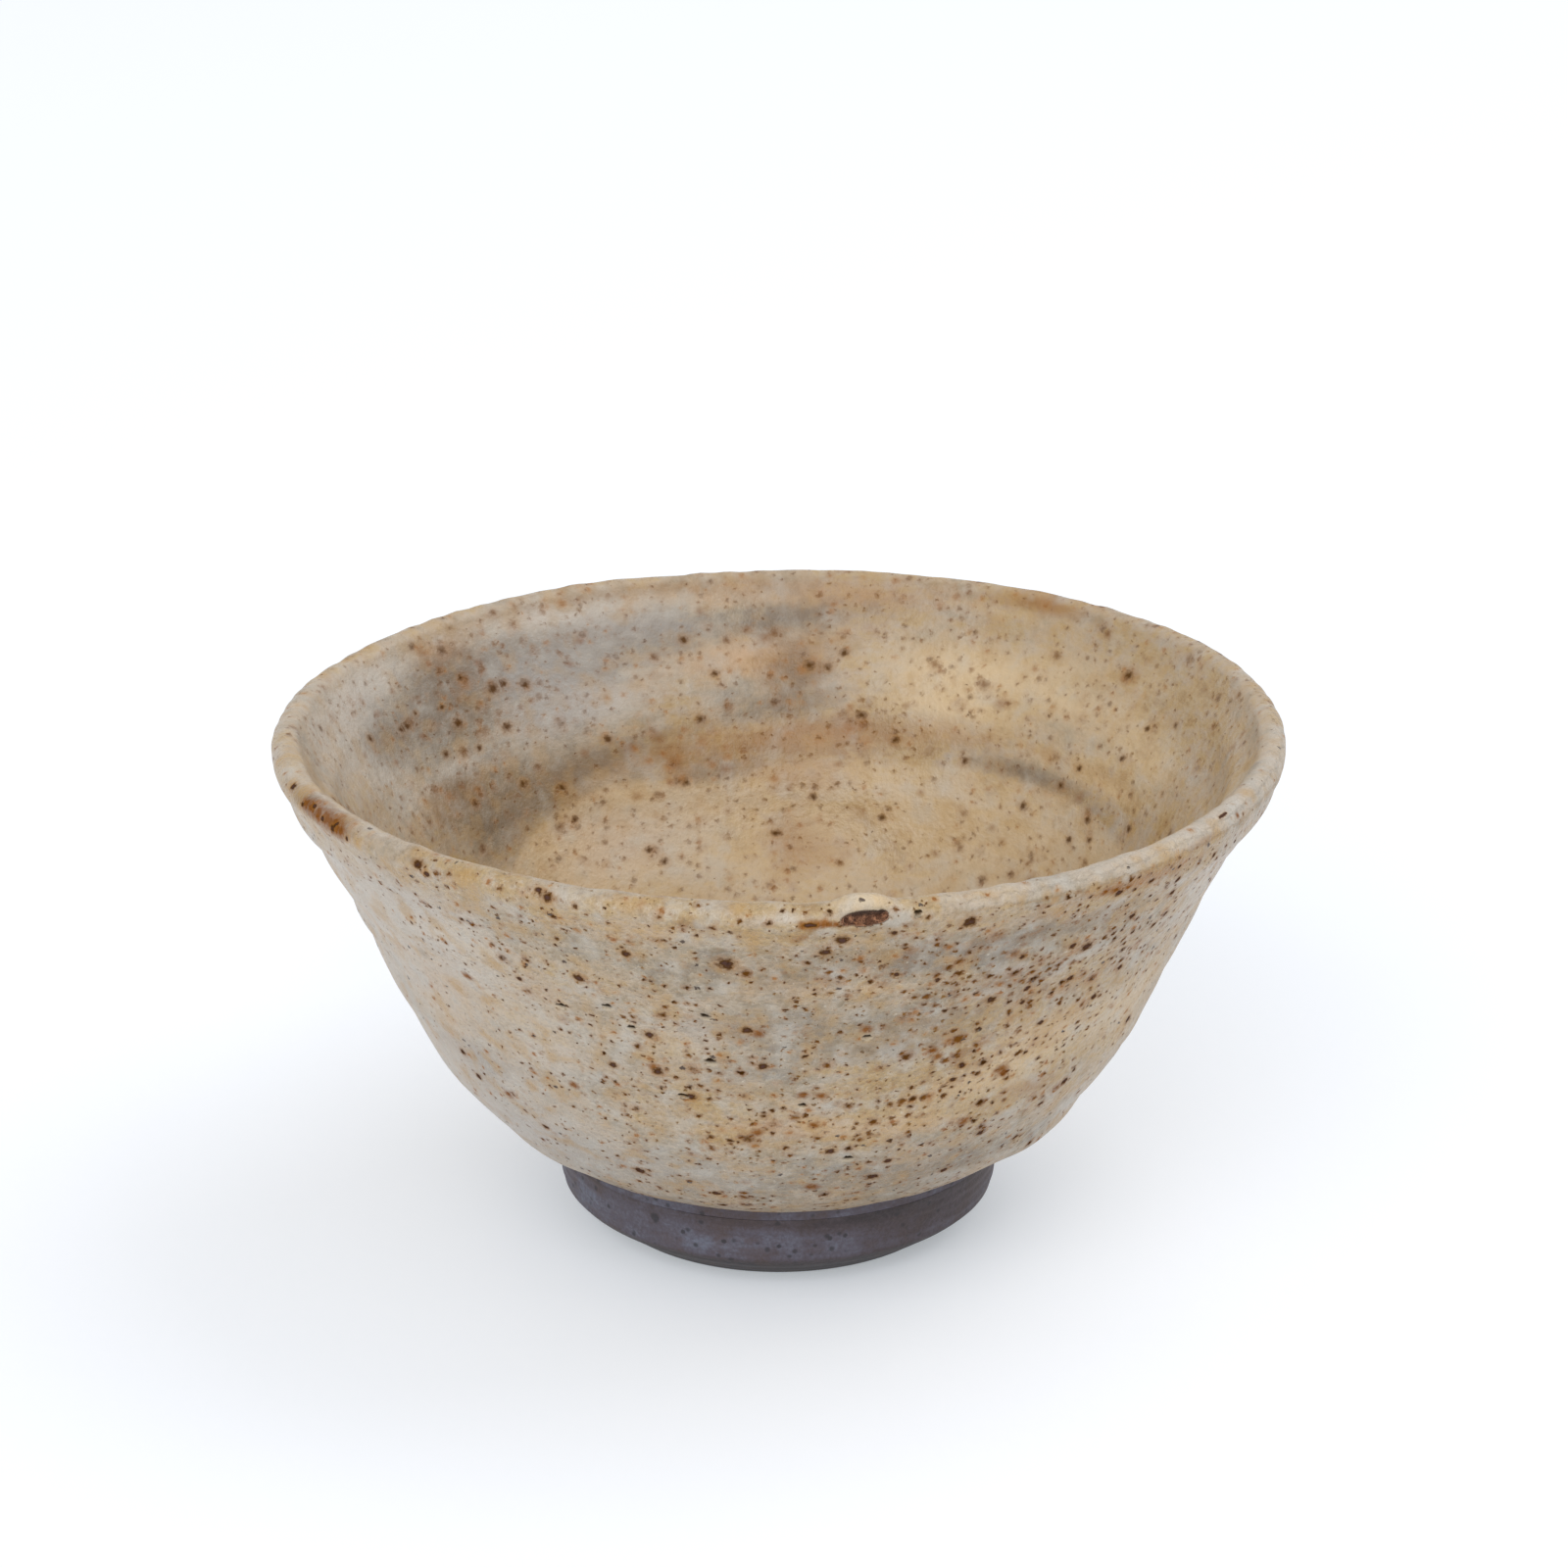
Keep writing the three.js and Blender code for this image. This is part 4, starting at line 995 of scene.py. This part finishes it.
# %% Rust runs, iron spots with halos, and pits with a painted shadow under their upper edge and a painted highlight below
MARK_LAYERS = [  # field, outer and inner edge, colour, most, dent, loss inside, from and to what height
    ("rust_mark", -0.5, 0.6, "#7d4a1a", 0.85, 0.0, -0.45, None),
    ("iron_mark", -0.8, 0.4, "#97672f", 0.60, 0.0, -0.20, None),
    ("iron_mark", 0.0, 0.45, "#45290a", 0.92, -0.08, -0.12, None),
    ("iron_mark", 0.45, 0.8, "#54434a", 0.45, 0.0, -1.0, None),
    # The pit's painted light: a painted highlight on its lower rim, and a painted shadow under its upper
    # edge.
    ("pit_mark", -0.4, 0.1, "#cfc2ab", 0.55, 0.0, 0.0, (0.1, -0.5)),
    ("pit_mark", -0.1, 0.8, "#7b674a", 0.45, -0.26, -1.0, None),
    ("pit_mark", -0.05, 0.2, "#1f1307", 0.96, 0.0, 0.0, (-0.15, 0.35)),
]
RAGGED_EDGE, SOFTEN_INSIDE = 0.3, 0.35
ragged = add(tree, "MapRange", {
    "Value": wobble["Fac"], "From Min": NOISE_LOW, "From Max": NOISE_HIGH,
    "To Min": -RAGGED_EDGE, "To Max": RAGGED_EDGE,
})[0]
for label, outer_edge, inner_edge, hue, most, dent, loss, painted_light_span in MARK_LAYERS:
    full = add(tree, "Math", {0: value["veil"], 1: SOFTEN_INSIDE, 2: inner_edge}, operation="MULTIPLY_ADD")[0]
    field = add(tree, "Math", {0: value[label], 1: ragged})[0]
    # A pit's painted highlight and painted shadow each lie in a span of heights within it.
    if painted_light_span:
        part = add(tree, "MapRange", {
            "Value": value["pit_up"], "From Min": painted_light_span[0], "From Max": painted_light_span[1],
        })[0]
    else:
        part = inside_part(tree, value["veil"], loss)
    colour, share = lay(tree, colour, hue, field, outer_edge, full, most, part)
    iron_spots = add(tree, "Math", {0: iron_spots, 1: share}, operation="MAXIMUM")[0]
    if dent:
        dents.append((share, dent))

# %% Wrinkles that run along the rolled lip: distance below the crest in mm, colour and strength
WRINKLES = [(0.95, "#857a6d", 0.26), (1.75, "#8f6f45", 0.34)]
WRINKLE_WAVER, WRINKLE_EDGE, WRINKLE_CORE, WRINKLE_DENT = 0.28, 0.16, 0.04, -0.10
waver = add(tree, "MapRange", {
    "Value": value["flecks"], "From Min": NOISE_LOW, "From Max": NOISE_HIGH,
    "To Min": -WRINKLE_WAVER, "To Max": WRINKLE_WAVER,
})[0]
for drop, hue, most in WRINKLES:
    line = add(tree, "Math", {0: value["over_lip"], 1: drop})[0]
    line = add(tree, "Math", {0: line, 1: waver})[0]
    line = add(tree, "Math", {0: line}, operation="ABSOLUTE")[0]
    colour, share = lay(tree, colour, hue, line, WRINKLE_EDGE, WRINKLE_CORE, most, value["rolled"])
    dents.append((share, WRINKLE_DENT))

# %% Pinholes and the torn mouth of the blister, with painted shade in the holes and under the cap
holes = add(tree, "TexVoronoi", {"Vector": bent, "Scale": 1 / 2.4})["Distance"]
only_outside = inside_part(tree, value["veil"], -1.0)
# Painted shade: the pinholes' mouths are dark.
colour, hole = lay(tree, colour, "#4a3627", holes, 0.085, 0.055, 1.0, only_outside)
raw, crumbs = lay(tree, linear("#5e3a25"), "#a9785a", value["grain"], 0.38, 0.62, 1.0)
# Painted shadow: the upper part of the mouth, under the overhanging cap, is dark.
raw = lay(tree, raw, "#352010", value["mouth_rise"], 0.3, 0.8, 0.9)[0]
colour, torn = lay(tree, colour, raw, value["mouth"], 0.0, 0.1, 1.0)
crumbled = add(tree, "Math", {0: torn, 1: crumbs}, operation="MULTIPLY")[0]

# %% The glaze's skin: dents and bumps in mm, sheen, and no gloss on iron
rough_grain = add(tree, "Math", {0: value["grain"], 1: plain_inside}, operation="MULTIPLY")[0]
dents += [
    (hole, -0.15), (crumbled, 0.25), (rough_grain, 0.22), (value["bands"], 0.06), (value["flecks"], 0.14),
]
height = 0.0
for share, depth in dents:
    height = add(tree, "Math", {0: share, 1: depth, 2: height}, operation="MULTIPLY_ADD")[0]
bump = add(tree, "Bump", {"Height": height, "Distance": MM, "Strength": 1.0})[0]
sheen = add(tree, "MapRange", {
    "Value": value["clouds"], "From Min": 0.3, "From Max": 0.7, "To Min": 0.34, "To Max": 0.46,
})[0]
dull = add(tree, "Math", {0: torn, 1: 0.4, 2: sheen}, operation="MULTIPLY_ADD")[0]
gloss = add(tree, "Math", {0: iron_spots, 1: -0.6, 2: 0.5}, operation="MULTIPLY_ADD", use_clamp=True)[0]
skin = {"Base Color": colour, "Roughness": dull, "Normal": bump, "Specular IOR Level": gloss}
for socket, given in skin.items():
    tree.links.new(given, glaze_shader.inputs[socket])
glaze_shader.inputs["IOR"].default_value = 1.5
print("glaze:", len(tree.nodes), "nodes")

# %% [markdown]
# ## Bare stoneware
# Unglazed, the same clay fired to slate with a purple cast, blue-grey where the ash touched it and
# brown where it did not. It is matt and finely gritty, with a few melted iron spots. A plain dark
# grey would look like plastic, so slow drifts, tool marks and grit all move along one colour ramp.

# %% The bare clay's material
BARE_RAMP = [(0.40, "#2d2527"), (0.62, "#463c40"), (0.80, "#544f5a"), (1.00, "#6a6f7f")]
bare, tree, bare_shader, in_mm = new_material("bare_slate_stoneware")
# The patch values hold the foot's colour patches and its painted shade under the glaze and on the bevel.
patch_and_shade = add(tree, "Attribute", attribute_name="patch_and_shade")["Fac"]
clay_mark = add(tree, "Attribute", attribute_name="clay_mark")["Fac"]
around = add(tree, "Mapping", {"Vector": in_mm, "Scale": (0.12, 0.12, 1.0)})[0]
drift = add(tree, "TexNoise", {"Vector": in_mm, "Scale": 1 / 3.0, "Detail": 4.0, "Roughness": 0.6})["Fac"]
tooling = add(tree, "TexNoise", {"Vector": around, "Scale": 1 / 0.5, "Detail": 2.0})["Fac"]
grit = add(tree, "TexNoise", {"Vector": in_mm, "Scale": 1 / 0.32, "Detail": 2.0, "Roughness": 0.7})["Fac"]
shade = 0.20
for field, reach in ((drift, 0.6), (patch_and_shade, 0.3), (tooling, 0.12), (grit, 0.40)):
    shade = add(tree, "Math", {0: field, 1: reach, 2: shade}, operation="MULTIPLY_ADD")[0]
colour = add(tree, "ValToRGB", {"Fac": shade}, stops=BARE_RAMP)["Color"]
flecks = add(tree, "TexVoronoi", {"Vector": in_mm, "Scale": 1 / 1.1})["Distance"]
for hue, field, start, end, most in (
    ("#58463f", drift, 0.50, 0.32, 0.30), ("#252226", flecks, 0.26, 0.12, 0.75),
    ("#252226", clay_mark, 0.0, 0.4, 0.85),
):
    colour = lay(tree, colour, hue, field, start, end, most)[0]
height = 0.0
for field, depth in ((grit, 0.05), (tooling, 0.06)):
    height = add(tree, "Math", {0: field, 1: depth, 2: height}, operation="MULTIPLY_ADD")[0]
bump = add(tree, "Bump", {"Height": height, "Distance": MM, "Strength": 0.9})[0]
tree.links.new(colour, bare_shader.inputs["Base Color"])
tree.links.new(bump, bare_shader.inputs["Normal"])
bare_shader.inputs["Roughness"].default_value = 0.62
print("bare clay:", len(tree.nodes), "nodes")

for piece, finish in ((dipped, glaze), (poured, glaze), (clay, bare), (foot, bare)):
    piece.data.materials.append(finish)

# %% [markdown]
# ## A plain white studio
# The cup stands on white paper under soft light: a broad panel at the front, high and a little to
# the left, a weaker one above and behind on the right, and an even white room. More light would
# whiten the paper but bleach the cup, so the paper and the room are shown lighter to rays that come
# from the camera or mirror them in the glaze, and the paper keeps the cup's soft shadow.


# %% Rays that see the studio
def sees_studio(tree):
    """1 for rays from the camera, from gloss and through glass, and 0 for those that carry light."""
    rays = add(tree, "LightPath")
    seen = rays["Is Camera Ray"]
    for kind in ("Is Glossy Ray", "Is Transmission Ray"):
        seen = add(tree, "Math", {0: seen, 1: rays[kind]}, operation="MAXIMUM")[0]
    return seen


# %% Floor
FLOOR_SIDE = 6.0
half_side = FLOOR_SIDE / 2
sheet_corners = [(x * half_side, y * half_side, 0) for x, y in ((-1, -1), (1, -1), (1, 1), (-1, 1))]
sheet_mesh = bpy.data.meshes.new("white_paper")
sheet_mesh.from_pydata(sheet_corners, [], [(0, 1, 2, 3)])
floor = bpy.data.objects.new("white_paper", sheet_mesh)
bpy.context.scene.collection.objects.link(floor)
paper, tree, paper_shader, in_mm = new_material("white_paper")
fibre = add(tree, "TexNoise", {"Vector": in_mm, "Scale": 1 / 30.0, "Detail": 2.0})["Fac"]
tint = add(tree, "Mix", {0: fibre, 6: linear("#f4f6f8"), 7: linear("#f8f8f9")}, data_type="RGBA")[2]
tree.links.new(tint, paper_shader.inputs["Base Color"])
paper_shader.inputs["Roughness"].default_value = 0.9
paper_shader.inputs["Specular IOR Level"].default_value = 0.1
flat = add(tree, "BsdfDiffuse", {"Color": linear("#dadce2")})[0]
glow = add(tree, "Emission", {"Color": linear("#f4fbff"), "Strength": 0.33})[0]
shown = add(tree, "AddShader", {0: flat, 1: glow})[0]
either = add(tree, "MixShader", {0: sees_studio(tree), 1: paper_shader.outputs[0], 2: shown})[0]
tree.links.new(either, tree.nodes["Material Output"].inputs["Surface"])
sheet_mesh.materials.append(paper)

# %% Room light
world = bpy.data.worlds.new("white_room")
bpy.context.scene.world = world
world.use_nodes = True
tree = world.node_tree
room = add(tree, "Background", {"Color": linear("#ffffff"), "Strength": 0.62})[0]
white = add(tree, "Background", {"Color": linear("#ffffff"), "Strength": 1.0})[0]
either = add(tree, "MixShader", {0: sees_studio(tree), 1: room, 2: white})[0]
tree.links.new(either, tree.nodes["World Output"].inputs["Surface"])

# %% Panels: place and side in metres, power in watts
PANELS = [("key_panel", (-0.32, -1.05, 0.80), 1.0, 8.8), ("top_panel", (0.60, 0.30, 1.0), 1.0, 4.4)]
AIM_HEIGHT = 0.02
for name, place, panel_side, power in PANELS:
    panel = bpy.data.lights.new(name, "AREA")
    panel.shape, panel.size, panel.energy = "SQUARE", panel_side, power
    lamp = bpy.data.objects.new(name, panel)
    lamp.location = place
    x, y, z = np.array(place) - (0, 0, AIM_HEIGHT)
    lamp.rotation_euler = (math.atan2(math.hypot(x, y), z), 0, math.atan2(y, x) + math.pi / 2)
    bpy.context.scene.collection.objects.link(lamp)

# %% Camera
CAMERA_PLACE = (0.0, -0.368972, 0.174465)
CAMERA_DIP, CAMERA_TURN = 20.489, -0.0653
camera_data = bpy.data.cameras.new("camera")
camera_data.lens, camera_data.sensor_width = 113.25, 36.0
camera = bpy.data.objects.new("camera", camera_data)
camera.location = CAMERA_PLACE
camera.rotation_euler = (math.radians(90 - CAMERA_DIP), 0, math.radians(CAMERA_TURN))
bpy.context.scene.collection.objects.link(camera)
bpy.context.scene.camera = camera
bpy.context.scene.view_settings.view_transform = "Standard"
